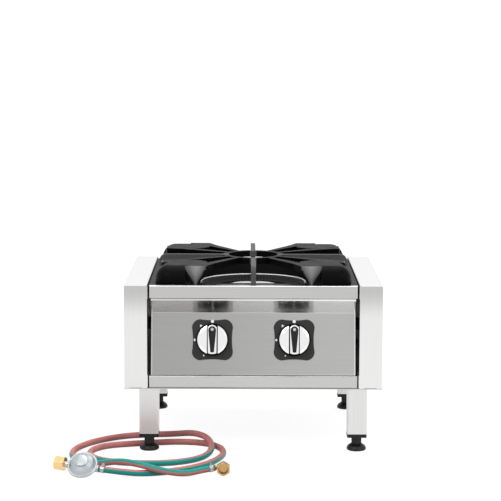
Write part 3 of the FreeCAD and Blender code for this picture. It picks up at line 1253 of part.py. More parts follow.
def save_controls():
    """Knobs, plates, taps and gas pipes."""
    plate = knob_plate()
    knob = knob_parts()
    for (name, side), (seat, way) in zip(SIDES, injector_seats()):
        frame = panel_frame(side * FEED_X)
        save(name + "_knob_plate", placed(plate, frame))
        for piece, shape in knob.items():
            save(name + "_" + piece, placed(shape, frame))
        save(name + "_stem", placed(stem(), frame))
        save(name + "_valve", placed(valve_body(), frame))
        save(name + "_feed_pipe", feed_pipe(side, seat, way))
    save("gas_manifold", gas_manifold())
    save("inlet_nipple", inlet_nipple())


def save_hose():
    """Regulator, hose and end fitting."""
    frame = regulator_frame()
    save("regulator_body", placed(regulator_shell(), frame))
    save("regulator_cap", placed(regulator_cap(), frame))
    save("regulator_nipple", placed(regulator_nipple(), frame))
    save("union_nut", placed(union_nut(), frame))
    save("gas_hose", gas_hose())
    save("hose_clamps", hose_clamps())
    save("end_elbow", end_elbow())
    save("end_nut", end_nut())


def main():
    """Build every sub-part and write it."""
    os.makedirs("parts", exist_ok=True)
    save_body()
    save_legs()
    save_burners()
    save_controls()
    save_hose()


main()
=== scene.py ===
import logging
import math
from dataclasses import dataclass, field
from enum import Enum
from functools import cached_property
from typing import NamedTuple, Sequence

import bpy
import numpy as np
from mathutils import Matrix, Vector


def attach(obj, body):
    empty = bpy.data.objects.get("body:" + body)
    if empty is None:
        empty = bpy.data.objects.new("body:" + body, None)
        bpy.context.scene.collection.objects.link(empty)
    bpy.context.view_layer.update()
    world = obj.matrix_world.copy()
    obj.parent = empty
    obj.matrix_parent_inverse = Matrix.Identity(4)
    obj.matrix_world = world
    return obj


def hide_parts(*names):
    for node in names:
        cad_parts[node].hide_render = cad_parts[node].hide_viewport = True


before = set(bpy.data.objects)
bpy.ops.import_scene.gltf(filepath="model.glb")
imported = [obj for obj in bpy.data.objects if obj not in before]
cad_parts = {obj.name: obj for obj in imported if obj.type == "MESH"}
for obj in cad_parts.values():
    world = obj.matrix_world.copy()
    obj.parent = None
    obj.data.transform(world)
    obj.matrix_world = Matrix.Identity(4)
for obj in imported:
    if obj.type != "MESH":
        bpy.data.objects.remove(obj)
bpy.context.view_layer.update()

LOG = logging.getLogger("stock_pot_range")
HOSE_MAP = "way"
MM = 0.001
SOFT = 0.4 * MM  # softness of a drawn limit
SCRATCH = 0.00002  # depth of the brushing, in metres

Point = tuple[float, float, float]
Colour = tuple[float, float, float]
Pair = tuple[float, float]
Object = bpy.types.Object
Material = bpy.types.Material
Tree = bpy.types.NodeTree
Node = bpy.types.Node
Socket = bpy.types.NodeSocket
Feed = Socket | float | Sequence[float]
Axes = tuple[Socket, Socket, Socket]


@dataclass(frozen=True)
class PanelPlane:
    """Where the knobs sit on the leaning control panel, in metres."""

    spacing: float = 184.0 * MM
    height: float = 255.0 * MM
    front: float = -250.0 * MM
    setback: float = 28.0 * MM
    foot: float = 176.0 * MM
    top: float = 315.0 * MM

    @property
    def tilt(self) -> float:
        """Lean of the panel from upright, in radians."""
        return math.atan2(self.setback, self.top - self.foot)

    @property
    def depth(self) -> float:
        """Y of the panel's face at the knobs."""
        return self.front + self.setback * (self.height - self.foot) / (self.top - self.foot)


PANEL = PanelPlane()


class Side(Enum):
    """Side of the range that a knob is on, as the sign of its X."""

    LEFT = -1
    RIGHT = 1


class Grain(Enum):
    """Way that the brushing of a sheet runs, as noise scales along X, Y and Z."""

    ACROSS = (7.0, 900.0, 900.0)
    UPRIGHT = (900.0, 900.0, 7.0)
    CAST = (320.0, 320.0, 320.0)


class Step(NamedTuple):
    """Smooth change from one value to another between two limits."""

    low: float
    high: float
    at_low: float = 0.0
    at_high: float = 1.0


# -- shader helpers
class Nodes:
    """Short ways to add nodes to a tree."""

    def __init__(self, tree: Tree) -> None:
        """Work on one node tree."""
        self.tree = tree

    def node(self, kind: str, **inputs: Feed) -> Node:
        """Add a node.

        Args:
            kind: Blender's type name of the node, after ShaderNode.
            inputs: Values or output sockets by input name, with _ for a space.

        Returns:
            The new node.
        """
        made = self.tree.nodes.new("ShaderNode" + kind)
        for key, value in inputs.items():
            self.feed(made, key.replace("_", " "), value)
        return made

    def feed(self, node: Node, name: str | int, value: Feed) -> None:
        """Set an input to a value, or link it to an output socket.

        Args:
            node: Node that has the input.
            name: Name or index of the input.
            value: Plain value, or the socket to link.
        """
        socket = node.inputs[name]
        if isinstance(value, Socket):
            self.tree.links.new(value, socket)
        else:
            socket.default_value = value

    def operation(self, kind: str, name: str, values: Sequence[Feed]) -> Node:
        """Add a node that has a choice of operations.

        Args:
            kind: Blender's type name of the node, after ShaderNode.
            name: Blender's name of the operation.
            values: What its inputs get, in order.

        Returns:
            The new node.
        """
        made = self.node(kind)
        made.operation = name
        for index, value in enumerate(values):
            self.feed(made, index, value)
        return made

    def math(self, name: str, *values: Feed) -> Socket:
        """Result of a Math node."""
        return self.operation("Math", name, values).outputs[0]

    def times(self, first: Feed, second: Feed) -> Socket:
        """Product of two values."""
        return self.math("MULTIPLY", first, second)

    def vector(self, name: str, *values: Feed) -> Socket:
        """Result of a Vector Math node."""
        return self.operation("VectorMath", name, values).outputs[0]

    def length(self, first: Socket, second: Socket) -> Socket:
        """Length of a vector in a plane from its two parts."""
        square = self.times(second, second)
        return self.math("SQRT", self.math("MULTIPLY_ADD", first, first, square))

    def ramp(self, value: Socket, low: float, high: float, at_low: float = 0.0,
             at_high: float = 1.0) -> Socket:
        """Map a value smoothly from one range to another.

        Args:
            value: Value to map.
            low: Lower limit of the value.
            high: Upper limit of the value.
            at_low: Result at the lower limit and below it.
            at_high: Result at the upper limit and above it.

        Returns:
            The result.
        """
        made = self.node("MapRange")
        made.interpolation_type = "SMOOTHSTEP"
        for index, given in enumerate((value, low, high, at_low, at_high)):
            self.feed(made, index, given)
        return made.outputs[0]

    def band(self, value: Socket, low: float, high: float, soft: float) -> Socket:
        """One between two limits, easing to zero at each.

        Args:
            value: Value to judge.
            low: Lower limit.
            high: Upper limit.
            soft: Half the distance that the easing takes.

        Returns:
            The mask.
        """
        return self.times(self.ramp(value, low - soft, low + soft),
                         self.ramp(value, high - soft, high + soft, 1.0, 0.0))

    def mix(self, share: Feed, first: Feed, second: Feed) -> Socket:
        """Mix two colours.

        Args:
            share: Share of the second colour.
            first: Colour, or its socket.
            second: Colour, or its socket.

        Returns:
            The mixed colour.
        """
        made = self.node("Mix")
        made.data_type = "RGBA"
        self.feed(made, 0, share)
        for index, value in ((6, first), (7, second)):
            self.feed(made, index, value if isinstance(value, Socket) else (*value, 1.0))
        return made.outputs[2]

    def tinted(self, colour: Feed, tone: Socket) -> Socket:
        """Multiply a colour by a tone.

        Args:
            colour: Colour, or its socket.
            tone: Factor for all three channels.

        Returns:
            The tinted colour.
        """
        made = self.operation("VectorMath", "SCALE", (colour,))
        self.feed(made, "Scale", tone)
        return made.outputs[0]


class Group(Nodes):
    """A shared node group in the making, with an input named Amount."""

    def __init__(self, name: str, inputs: dict[str, float | Point], outputs: Sequence[str]) -> None:
        """Make an empty group.

        Args:
            name: Name of the group.
            inputs: Default of each input: a number for a float, three for a vector.
            outputs: Name of each output, all of them floats.
        """
        super().__init__(bpy.data.node_groups.new(name, "ShaderNodeTree"))
        for title, default in inputs.items():
            kind = "NodeSocketFloat" if isinstance(default, float) else "NodeSocketVector"
            socket = self.tree.interface.new_socket(title, in_out="INPUT", socket_type=kind)
            socket.default_value = default
        for title in outputs:
            self.tree.interface.new_socket(title, in_out="OUTPUT", socket_type="NodeSocketFloat")
        self.given = self.tree.nodes.new("NodeGroupInput").outputs
        self.result = self.tree.nodes.new("NodeGroupOutput")

    def noise(self, place: Socket, **inputs: Feed) -> Socket:
        """Value of a noise texture at a place."""
        return self.node("TexNoise", Vector=place, **inputs).outputs["Fac"]

    def tone(self, noise: Socket) -> Socket:
        """Tone near 1 that follows a noise by the group's Amount."""
        return self.math("MULTIPLY_ADD", self.math("SUBTRACT", noise, 0.5), self.given["Amount"], 1.0)

    def close(self, **results: Socket) -> Tree:
        """Feed the outputs of the group.

        Args:
            results: Socket for each output, by its name.

        Returns:
            The group's node tree.
        """
        for name, value in results.items():
            self.feed(self.result, name, value)
        return self.tree


def brushed_group() -> Tree:
    """Brushing: a stretched noise gives a tone near 1 and a height, a wide one gives smudges.

    Returns:
        Group with inputs Position, Stretch and Amount, and outputs Tone, Height and Smudge.
    """
    group = Group("brushed_grain", {"Position": (0, 0, 0), "Stretch": (1, 1, 1), "Amount": 0.1},
                  ("Tone", "Height", "Smudge"))
    place = group.given["Position"]
    fine = group.noise(group.vector("MULTIPLY", place, group.given["Stretch"]), Scale=1.0, Detail=3.0)
    wide = group.noise(place, Scale=9.0, Detail=2.0)
    return group.close(Tone=group.tone(fine), Height=fine, Smudge=wide)


def grit_group() -> Tree:
    """Cast or moulded skin: fine and coarse noise added give a height, and the coarse one a tone.

    Returns:
        Group with inputs Position, Scale and Amount, and outputs Tone and Height.
    """
    group = Group("cast_grit", {"Position": (0, 0, 0), "Scale": 600.0, "Amount": 0.3},
                  ("Tone", "Height"))
    place = group.given["Position"]
    fine = group.noise(place, Scale=group.given["Scale"], Detail=4.0)
    coarse = group.noise(place, Scale=38.0)
    return group.close(Tone=group.tone(coarse), Height=group.math("MULTIPLY_ADD", coarse, 0.5, fine))


BRUSHED = brushed_group()
GRIT = grit_group()


class Shader(Nodes):
    """A material with its Principled BSDF."""

    def __init__(self, name: str, metallic: float, roughness: float, shine: float = 0.5) -> None:
        """Start an empty material.

        Args:
            name: Name of the material.
            metallic: Metallic value before any node changes it.
            roughness: Roughness before any node changes it.
            shine: Specular level where the surface is no metal.
        """
        self.material = bpy.data.materials.new(name)
        self.material.use_nodes = True
        super().__init__(self.material.node_tree)
        self.bsdf = self.tree.nodes["Principled BSDF"]
        self.surface("Metallic", metallic)
        self.surface("Roughness", roughness)
        self.surface("Specular IOR Level", shine)

    @cached_property
    def place(self) -> Socket:
        """Object coordinates, in metres."""
        return self.node("TexCoord").outputs["Object"]

    @cached_property
    def axes(self) -> Axes:
        """Object coordinates along X, Y and Z."""
        return self.split(self.place)

    def split(self, vector: Socket) -> Axes:
        """Parts of a vector along X, Y and Z."""
        return tuple(self.node("SeparateXYZ", Vector=vector).outputs)

    def dial(self) -> tuple[Socket, Socket]:
        """Find a place on the panel from the axis of the nearer knob.

        Returns:
            Distance to the right of the axis and distance up the panel from it, in metres.
        """
        x, y, z = self.axes
        across = self.math("MULTIPLY_ADD", self.math("SIGN", x), -PANEL.spacing / 2, x)
        rise = self.times(self.math("SUBTRACT", z, PANEL.height), math.cos(PANEL.tilt))
        back = self.math("SUBTRACT", y, PANEL.depth)
        return across, self.math("MULTIPLY_ADD", back, math.sin(PANEL.tilt), rise)

    def group(self, tree: Tree, **inputs: Feed) -> Node:
        """Place a shared node group.

        Args:
            tree: The group's node tree.
            inputs: Values or output sockets by input name.

        Returns:
            The group node.
        """
        made = self.node("Group")
        made.node_tree = tree
        for key, value in inputs.items():
            self.feed(made, key, value)
        return made

    def surface(self, name: str, value: Feed) -> None:
        """Feed an input of the Principled BSDF."""
        self.feed(self.bsdf, name, value)

    def bump(self, height: Socket, depth: float) -> None:
        """Feed a height into the surface's normal.

        Args:
            height: Height from 0 to 1.
            depth: Depth of the relief, in metres.
        """
        made = self.node("Bump", Distance=depth, Height=height)
        self.surface("Normal", made.outputs["Normal"])


# -- what a finish may have on it
@dataclass(frozen=True)
class PaintedShade:
    """Painted shade on hidden flanks: darker and dull, where shade falls.

    It lies within a band off the middle plane, behind the front or at the height of the panel.
    """

    across: Pair
    behind: Step = Step(-0.212, -0.206)
    height: Pair = (0.177, 0.350)
    left: float = 0.015

    def lay(self, shader: Shader) -> Socket:
        """Paint shade on the shaded part of a sheet: darken it and make it dull.

        Args:
            shader: The material in the making.

        Returns:
            Factor for the tone of the sheet.
        """
        x, y, z = shader.axes
        deep = shader.math("MAXIMUM", shader.ramp(y, *self.behind),
                           shader.band(z, *self.height, 0.5 * MM))
        wide = shader.band(shader.math("ABSOLUTE", x), *self.across, SOFT)
        dark = shader.times(wide, deep)
        shader.surface("Metallic", shader.math("SUBTRACT", 1.0, dark))
        return shader.ramp(dark, 0.0, 1.0, 1.0, self.left)


@dataclass(frozen=True)
class Facet:
    """Facet along the panel's top, and folds at its bend, its ends and its foot, all painted brighter:
    painted light.
    """

    above: float
    facet_light: float = 0.75
    bend: float = 0.25
    bend_width: float = 1.6 * MM
    ends: Step = Step(0.2268, 0.2276, 0.0, 0.45)
    foot: Step = Step(0.1772, 0.1786, 0.9, 0.0)
    gloss: float = 0.4
    tilt: float = -0.30
    spread: float = 0.50

    def lay(self, shader: Shader) -> Socket:
        """Brighten the facet and the folds with painted light.

        Args:
            shader: The material in the making.

        Returns:
            Factor for the tone of the sheet.
        """
        x, _, z = shader.axes
        # painted light on the facet, its bend, its ends and its foot
        facet = shader.ramp(z, self.above, self.above + 0.5 * MM, 0.0, self.facet_light)
        bend = shader.band(z, self.above - self.bend_width, self.above, 0.3 * MM)
        ends = shader.ramp(shader.math("ABSOLUTE", x), *self.ends)
        edge = shader.math("MAXIMUM", shader.math("MAXIMUM", ends, shader.ramp(z, *self.foot)),
                           shader.times(bend, self.bend))
        return shader.math("ADD", shader.math("ADD", 1.0, facet), edge)

    def draw_out(self, shader: Shader, rough: Socket) -> Socket:
        """Draw reflections out up and down on the facet, as fine brushing across it does.

        Args:
            shader: The material in the making.
            rough: Roughness of the sheet.

        Returns:
            Roughness of the sheet with its glossier facet.
        """
        facet = shader.ramp(shader.axes[2], self.above, self.above + MM)
        grain = shader.node("TexWhiteNoise", Vector=shader.place)
        grain.noise_dimensions = "3D"
        lean = shader.math("MULTIPLY_ADD", grain.outputs["Value"], self.spread,
                           self.tilt - self.spread / 2)
        offset = shader.node("CombineXYZ", Z=shader.times(lean, facet))
        flat = shader.node("NewGeometry").outputs["Normal"]
        leaning = shader.vector("ADD", flat, offset.outputs["Vector"])
        shader.surface("Normal", shader.vector("NORMALIZE", leaning))
        return shader.times(rough, shader.ramp(facet, 0.0, 1.0, 1.0, self.gloss))


@dataclass(frozen=True)
class Inlay:
    """Black drop about a knob's insert: round at its top, narrower towards its cut foot."""

    head: float = 20.5 * MM
    half: Step = Step(-48 * MM, 38 * MM, 3.4 * MM, 9.3 * MM)
    foot: float = -28.5 * MM
    left: float = 0.012

    def lay(self, shader: Shader) -> Socket:
        """Darken the drop.

        Args:
            shader: The material in the making.

        Returns:
            Factor for the tone of the knob's bright parts.
        """
        across, rise = shader.dial()
        over = shader.math("MAXIMUM", shader.math("SUBTRACT", rise, self.head), 0.0)
        reach = shader.length(over, across)
        inside = shader.math("LESS_THAN", reach, shader.ramp(rise, *self.half))
        within = shader.times(inside, shader.math("GREATER_THAN", rise, self.foot))
        return shader.ramp(within, 0.0, 1.0, 1.0, self.left)


@dataclass(frozen=True)
class PaintedHighlight:
    """Painted highlight on the pan support: a V on each of eight lugs, and four slim fingers, painted
    lighter where light falls.
    """

    colour: Colour = (0.30, 0.30, 0.30)
    lug_off: float = 0.130
    lug_from: Step = Step(0.2085, 0.2095)
    lug_half: float = 0.030
    lug_taper: Step = Step(0.372, 0.430, 0.1, 1.0)
    lug_fade: Step = Step(0.378, 0.417, 0.35, 1.0)
    lug_rim: float = 0.35
    finger_half: float = 0.008
    finger_highlight: float = 0.30

    def mask(self, shader: Shader) -> Socket:
        """Find where the highlight is painted.

        A lug is where the middle line of its V is nearer than half the V's width at that height, and
        a finger is where a middle plane is nearer than its own half width.

        Args:
            shader: The material in the making.

        Returns:
            How bare the iron is, from 0 to 1.
        """
        x, y = (shader.math("ABSOLUTE", axis) for axis in shader.axes[:2])
        z = shader.axes[2]
        near, far = shader.math("MINIMUM", x, y), shader.math("MAXIMUM", x, y)
        half = shader.times(shader.ramp(z, *self.lug_taper), self.lug_half)
        off = shader.math("ABSOLUTE", shader.math("SUBTRACT", near, self.lug_off))
        lug = shader.math("LESS_THAN", off, half)
        lug = shader.times(lug, shader.ramp(far, *self.lug_from))
        sheen = shader.ramp(shader.math("DIVIDE", off, half), 0.0, 1.0, 1.0, self.lug_rim)
        sheen = shader.times(sheen, shader.ramp(z, *self.lug_fade))
        finger = shader.math("LESS_THAN", near, self.finger_half)
        return shader.math("MAXIMUM", shader.times(lug, sheen),
                           shader.times(finger, self.finger_highlight))


# -- finishes
@dataclass(frozen=True)
class SteelFinish:
    """Brushed steel: painted shade may darken its tone with height and painted light lighten it along
    X; it may have a painted highlight on its top, and painted shade, a facet with painted light or a
    black inlay laid on it.
    """

    name: str
    colour: Colour
    roughness: float
    grain: Grain
    streak: float = 0.16
    fade: Step | None = None
    sweep: Step | None = None
    # painted highlight on the top edge, from this height up
    top_highlight_from: float | None = None
    top_highlight_colour: Colour = (0.84, 0.84, 0.84)
    # painted shade on hidden flanks
    painted_shade: PaintedShade | None = None
    facet: Facet | None = None
    inlay: Inlay | None = None
    shine: float = 0.5
    spread: Step = Step(0.3, 0.7, 0.93, 1.07)

    def build(self) -> Material:
        """Make the material: streaks tint it, roughen it and lift it by a few micrometres.

        Returns:
            The material.
        """
        shader = Shader(self.name, 1.0, self.roughness, self.shine)
        x, _, z = shader.axes
        grain = shader.group(BRUSHED, Position=shader.place, Stretch=self.grain.value,
                             Amount=self.streak)
        height, tone = grain.outputs["Height"], grain.outputs["Tone"]
        # painted shade darkens the tone with height (fade), and painted light lightens it along X
        # (sweep)
        for axis, step in ((z, self.fade), (x, self.sweep)):
            if step:
                tone = shader.times(tone, shader.ramp(axis, *step))
        for laid in (self.painted_shade, self.facet, self.inlay):
            if laid:
                tone = shader.times(tone, laid.lay(shader))
        colour: Feed = self.colour
        # painted highlight: the top edge above this height is painted brighter
        if self.top_highlight_from is not None:
            top_highlight = shader.ramp(z, self.top_highlight_from, self.top_highlight_from + 0.2 * MM)
            tone = shader.math("MAXIMUM", tone, top_highlight)
            colour = shader.mix(top_highlight, self.colour, self.top_highlight_colour)
        shader.surface("Base Color", shader.tinted(colour, tone))
        rough = shader.times(shader.ramp(height, *self.spread), self.roughness)
        if self.facet:
            rough = self.facet.draw_out(shader, rough)
        else:
            shader.bump(height, SCRATCH)
        shader.surface("Roughness", rough)
        return shader.material


@dataclass(frozen=True)
class CastFinish:
    """Cast metal, moulded plastic or enamel: a gritty skin in one colour, with a painted highlight or
    a ring of painted shadow.
    """

    name: str
    colour: Colour
    roughness: float
    metallic: float = 0.0
    scale: float = 600.0
    tone: float = 0.4
    depth: float = 0.0001
    shine: float = 0.5
    painted_highlight: PaintedHighlight | None = None
    # a ring of painted shadow on the plate about each knob
    ring: Pair | None = None
    shadow_ring_colour: Colour = (0.001, 0.001, 0.001)
    spread: Step = Step(0.4, 1.1, 0.8, 1.2)

    def build(self) -> Material:
        """Make the material: coarse noise tints it, fine noise lifts it.

        Returns:
            The material.
        """
        shader = Shader(self.name, self.metallic, self.roughness, self.shine)
        grit = shader.group(GRIT, Position=shader.place, Scale=self.scale, Amount=self.tone)
        colour: Feed = self.colour
        # painted highlight on the lugs and fingers
        if self.painted_highlight:
            colour = shader.mix(self.painted_highlight.mask(shader), self.colour, self.painted_highlight.colour)
        # painted shadow: a dark ring on the plate about each knob
        if self.ring:
            ring = shader.band(shader.length(*shader.dial()), *self.ring, SOFT)
            colour = shader.mix(ring, self.colour, self.shadow_ring_colour)
        shader.surface("Base Color", shader.tinted(colour, grit.outputs["Tone"]))
        height = grit.outputs["Height"]
        shader.surface("Roughness", shader.times(shader.ramp(height, *self.spread), self.roughness))
        shader.bump(height, self.depth)
        return shader.material


@dataclass(frozen=True)
class TrayFinish:
    """Hob tray: a brushed nose with a painted highlight on its top, and painted shade under the pan
    support.

    The painted shade starts nearer the front in the middle, where the burner is, and its limit wavers.
    """

    name: str
    nose: Colour = (0.50, 0.50, 0.495)
    nose_top_highlight: Colour = (0.92, 0.92, 0.92)
    shaded_colour: Colour = (0.010, 0.0098, 0.0096)
    shade_from: float = -0.233
    shade_soft: float = 0.016
    shade_bulge: Step = Step(0.070, 0.112, 0.030, 0.0)
    waver: float = 0.02
    face_below: float = 0.3795
    streak: float = 0.16
    rough: Step = Step(0.0, 1.0, 0.26, 0.5)

    def build(self) -> Material:
        """Make the material: the depth behind the nose picks bright steel or dull painted shade, and
        the height picks the nose's painted highlight.

        Returns:
            The material.
        """
        shader = Shader(self.name, 1.0, self.rough.at_low, shine=0.12)
        x, y, z = shader.axes
        grain = shader.group(BRUSHED, Position=shader.place, Stretch=Grain.ACROSS.value,
                             Amount=self.streak)
        # painted shade: dark, dull steel behind a wavering limit
        bulge = shader.ramp(shader.math("ABSOLUTE", x), *self.shade_bulge)
        depth = shader.math("MULTIPLY_ADD", grain.outputs["Smudge"], self.waver, y)
        depth = shader.math("SUBTRACT", depth, bulge)
        shade = shader.ramp(depth, self.shade_from, self.shade_from + self.shade_soft)
        # painted highlight on the top of the nose
        edge = shader.ramp(z, self.face_below, self.face_below + 0.3 * MM)
        colour = shader.mix(shade, shader.mix(edge, self.nose, self.nose_top_highlight), self.shaded_colour)
        shader.surface("Base Color", shader.tinted(colour, grain.outputs["Tone"]))
        shader.surface("Metallic", shader.math("SUBTRACT", 1.0, shade))
        shader.surface("Roughness", shader.ramp(shade, *self.rough))
        shader.bump(grain.outputs["Height"], SCRATCH)
        return shader.material


@dataclass(frozen=True)
class CrownFinish:
    """Burner crown of dark slotted iron, with a turned bright rim, and a core painted bright: painted
    light.

    Within the core's radius the crown is painted as bright as its rim, but not metallic: painted
    light.
    """

    name: str
    rim: float
    edge: float
    lit_core: float
    bright: Colour = (0.86, 0.86, 0.85)
    dark: Colour = (0.022, 0.022, 0.0225)
    rough: Step = Step(0.0, 1.0, 0.6, 0.22)
    turning: float = 9000.0
    turning_share: float = 0.15
    relief: float = 0.00005

    def build(self) -> Material:
        """Make the material: the distance from the Z axis picks bright turned metal, painted light or
        dark iron.

        Returns:
            The material.
        """
        shader = Shader(self.name, 1.0, self.rough.at_low, shine=0.06)
        x, y, _ = shader.axes
        radius = shader.length(y, x)
        metal = shader.ramp(radius, self.rim - self.edge, self.rim - self.edge + 0.3 * MM)
        shader.surface("Metallic", metal)
        # painted light: bright but not metallic within the core's radius
        lit_core = shader.ramp(radius, self.lit_core, self.lit_core + MM, 1.0, 0.0)
        bright = shader.math("MAXIMUM", metal, lit_core)
        grit = shader.group(GRIT, Position=shader.place, Scale=900.0, Amount=0.5)
        dark = shader.tinted(self.dark, grit.outputs["Tone"])
        shader.surface("Base Color", shader.mix(bright, dark, self.bright))
        shader.surface("Roughness", shader.ramp(bright, *self.rough))
        rings = shader.math("SINE", shader.times(radius, self.turning))
        height = shader.math("MULTIPLY_ADD", rings, self.turning_share, grit.outputs["Height"])
        shader.bump(height, self.relief)
        return shader.material


@dataclass(frozen=True)
class HoseFinish:
    """Ribbed rubber hose with a lengthwise stripe, on the tube's own UV map in turns and metres."""

    name: str
    colour: Colour
    stripe: Colour
    stripe_half: float
    stripe_soft: float = 0.008
    rib: float = 1.6 * MM
    strands: int = 30
    knit_tone: Pair = (0.86, 1.12)
    rough: Step = Step(0.0, 1.0, 0.55, 0.34)
    relief: float = 0.00012
    relief_on_stripe: float = 0.15

    def build(self) -> Material:
        """Make the material: U is the way round from 0 to 1, V the length in metres.

        Returns:
            The material.
        """
        shader = Shader(self.name, 0.0, self.rough.at_low, shine=0.25)
        uv = shader.node("UVMap")
        uv.uv_map = HOSE_MAP
        way, along, _ = shader.split(uv.outputs["UV"])
        off = shader.math("ABSOLUTE", shader.math("SUBTRACT", way, 0.5))
        stripe = shader.ramp(off, self.stripe_half - self.stripe_soft,
                             self.stripe_half + self.stripe_soft, 1.0, 0.0)
        ribs = shader.math("SINE", shader.times(along, 2 * math.pi / self.rib))
        weave = shader.math("SINE", shader.times(way, 2 * math.pi * self.strands))
        knit = shader.times(ribs, weave)
        grit = shader.group(GRIT, Position=shader.place, Scale=700.0, Amount=0.35)
        tone = shader.times(grit.outputs["Tone"], shader.ramp(knit, -1.0, 1.0, *self.knit_tone))
        shader.surface("Base Color", shader.mix(stripe, shader.tinted(self.colour, tone), self.stripe))
        shader.surface("Roughness", shader.ramp(stripe, *self.rough))
        share = shader.ramp(stripe, 0.0, 1.0, 1.0, self.relief_on_stripe)
        shader.bump(shader.times(knit, share), self.relief)
        return shader.material


@dataclass(frozen=True)
class PrintFinish:
    """Printed mark in one colour, which glows faintly: painted light."""

    name: str
    colour: Colour
    roughness: float = 0.45
    glow: float = 0.2

    def build(self) -> Material:
        """Make the material: nearly flat ink with faint specks, and a faint painted glow.

        Returns:
            The material.
        """
        shader = Shader(self.name, 0.0, self.roughness)
        grit = shader.group(GRIT, Position=shader.place, Scale=1500.0, Amount=0.1)
        ink = shader.tinted(self.colour, grit.outputs["Tone"])
        shader.surface("Base Color", ink)
        # painted light: the ink glows faintly, though it is no lamp
        shader.surface("Emission Color", ink)
        shader.surface("Emission Strength", self.glow)
        return shader.material


# -- mesh helpers
def mesh_piece(name: str, points: np.ndarray, faces: Sequence[Sequence[int]],
               smooth: bool = True) -> Object:
    """Make an object from points in metres and faces.

    Args:
        name: Name of the piece.
        points: Array of points, three numbers each.
        faces: Corner indices of each face.
        smooth: Whether the faces are shaded smooth.

    Returns:
        The new object, at the origin.
    """
    mesh = bpy.data.meshes.new(name)
    mesh.from_pydata(points.tolist(), [], [list(map(int, face)) for face in faces])
    mesh.update()
    if smooth:
        mesh.polygons.foreach_set("use_smooth", np.ones(len(mesh.polygons), bool))
    return linked(name, mesh)


def linked(name: str, data: bpy.types.ID) -> Object:
    """Make an object of a mesh, curve, camera or light, and put it in the scene.

    Args:
        name: Name of the object.
        data: What it holds.

    Returns:
        The new object.
    """
    made = bpy.data.objects.new(name, data)
    bpy.context.scene.collection.objects.link(made)
    return made


# -- camera and stage
@dataclass(frozen=True)
class PhotoCamera:
    """Camera of the photograph: pixels, metres and radians."""

    focal_pixels: float = 1801.295
    image_pixels: float = 501.0
    sensor: float = 36.0
    place: Point = (-0.01572, -4.23285, 0.97675)
    pitch: float = 0.12871
    yaw: float = -0.00218
    roll: float = 0.00351
    lift_pixels: float = -0.5
    reach: float = 50.0

    def build(self) -> None:
        """Make the camera and use it."""
        data = bpy.data.cameras.new("photo_camera")
        data.sensor_width = self.sensor
        data.lens = self.focal_pixels * self.sensor / self.image_pixels
        data.shift_y = self.lift_pixels / self.image_pixels
        data.clip_end = self.reach
        camera = linked("photo_camera", data)
        level = Vector((math.cos(self.yaw), math.sin(self.yaw), 0.0))
        ahead = math.cos(self.pitch) * Vector((-math.sin(self.yaw), math.cos(self.yaw), 0.0))
        ahead.z = -math.sin(self.pitch)
        upward = level.cross(ahead)
        right = level * math.cos(self.roll) + upward * math.sin(self.roll)
        top = upward * math.cos(self.roll) - level * math.sin(self.roll)
        axes = Matrix((right, top, -ahead)).transposed().to_4x4()
        camera.matrix_world = Matrix.Translation(self.place) @ axes
        bpy.context.scene.camera = camera
        LOG.info("camera: %.1f mm lens", data.lens)


@dataclass(frozen=True)
class Lamp:
    """Rectangular lamp that faces the range, in metres and watts."""

    name: str
    place: Point
    size: tuple[float, float]
    power: float
    aim: Point = (0.0, 0.0, 0.25)

    def build(self) -> None:
        """Make the lamp."""
        data = bpy.data.lights.new(self.name, "AREA")
        data.shape = "RECTANGLE"
        data.size, data.size_y = self.size
        data.energy = self.power
        made = linked(self.name, data)
        made.location = self.place
        ray = Vector(self.aim) - Vector(self.place)
        made.rotation_euler = ray.to_track_quat("-Z", "Y").to_euler()
        LOG.info("%s: %.0f W", self.name, self.power)


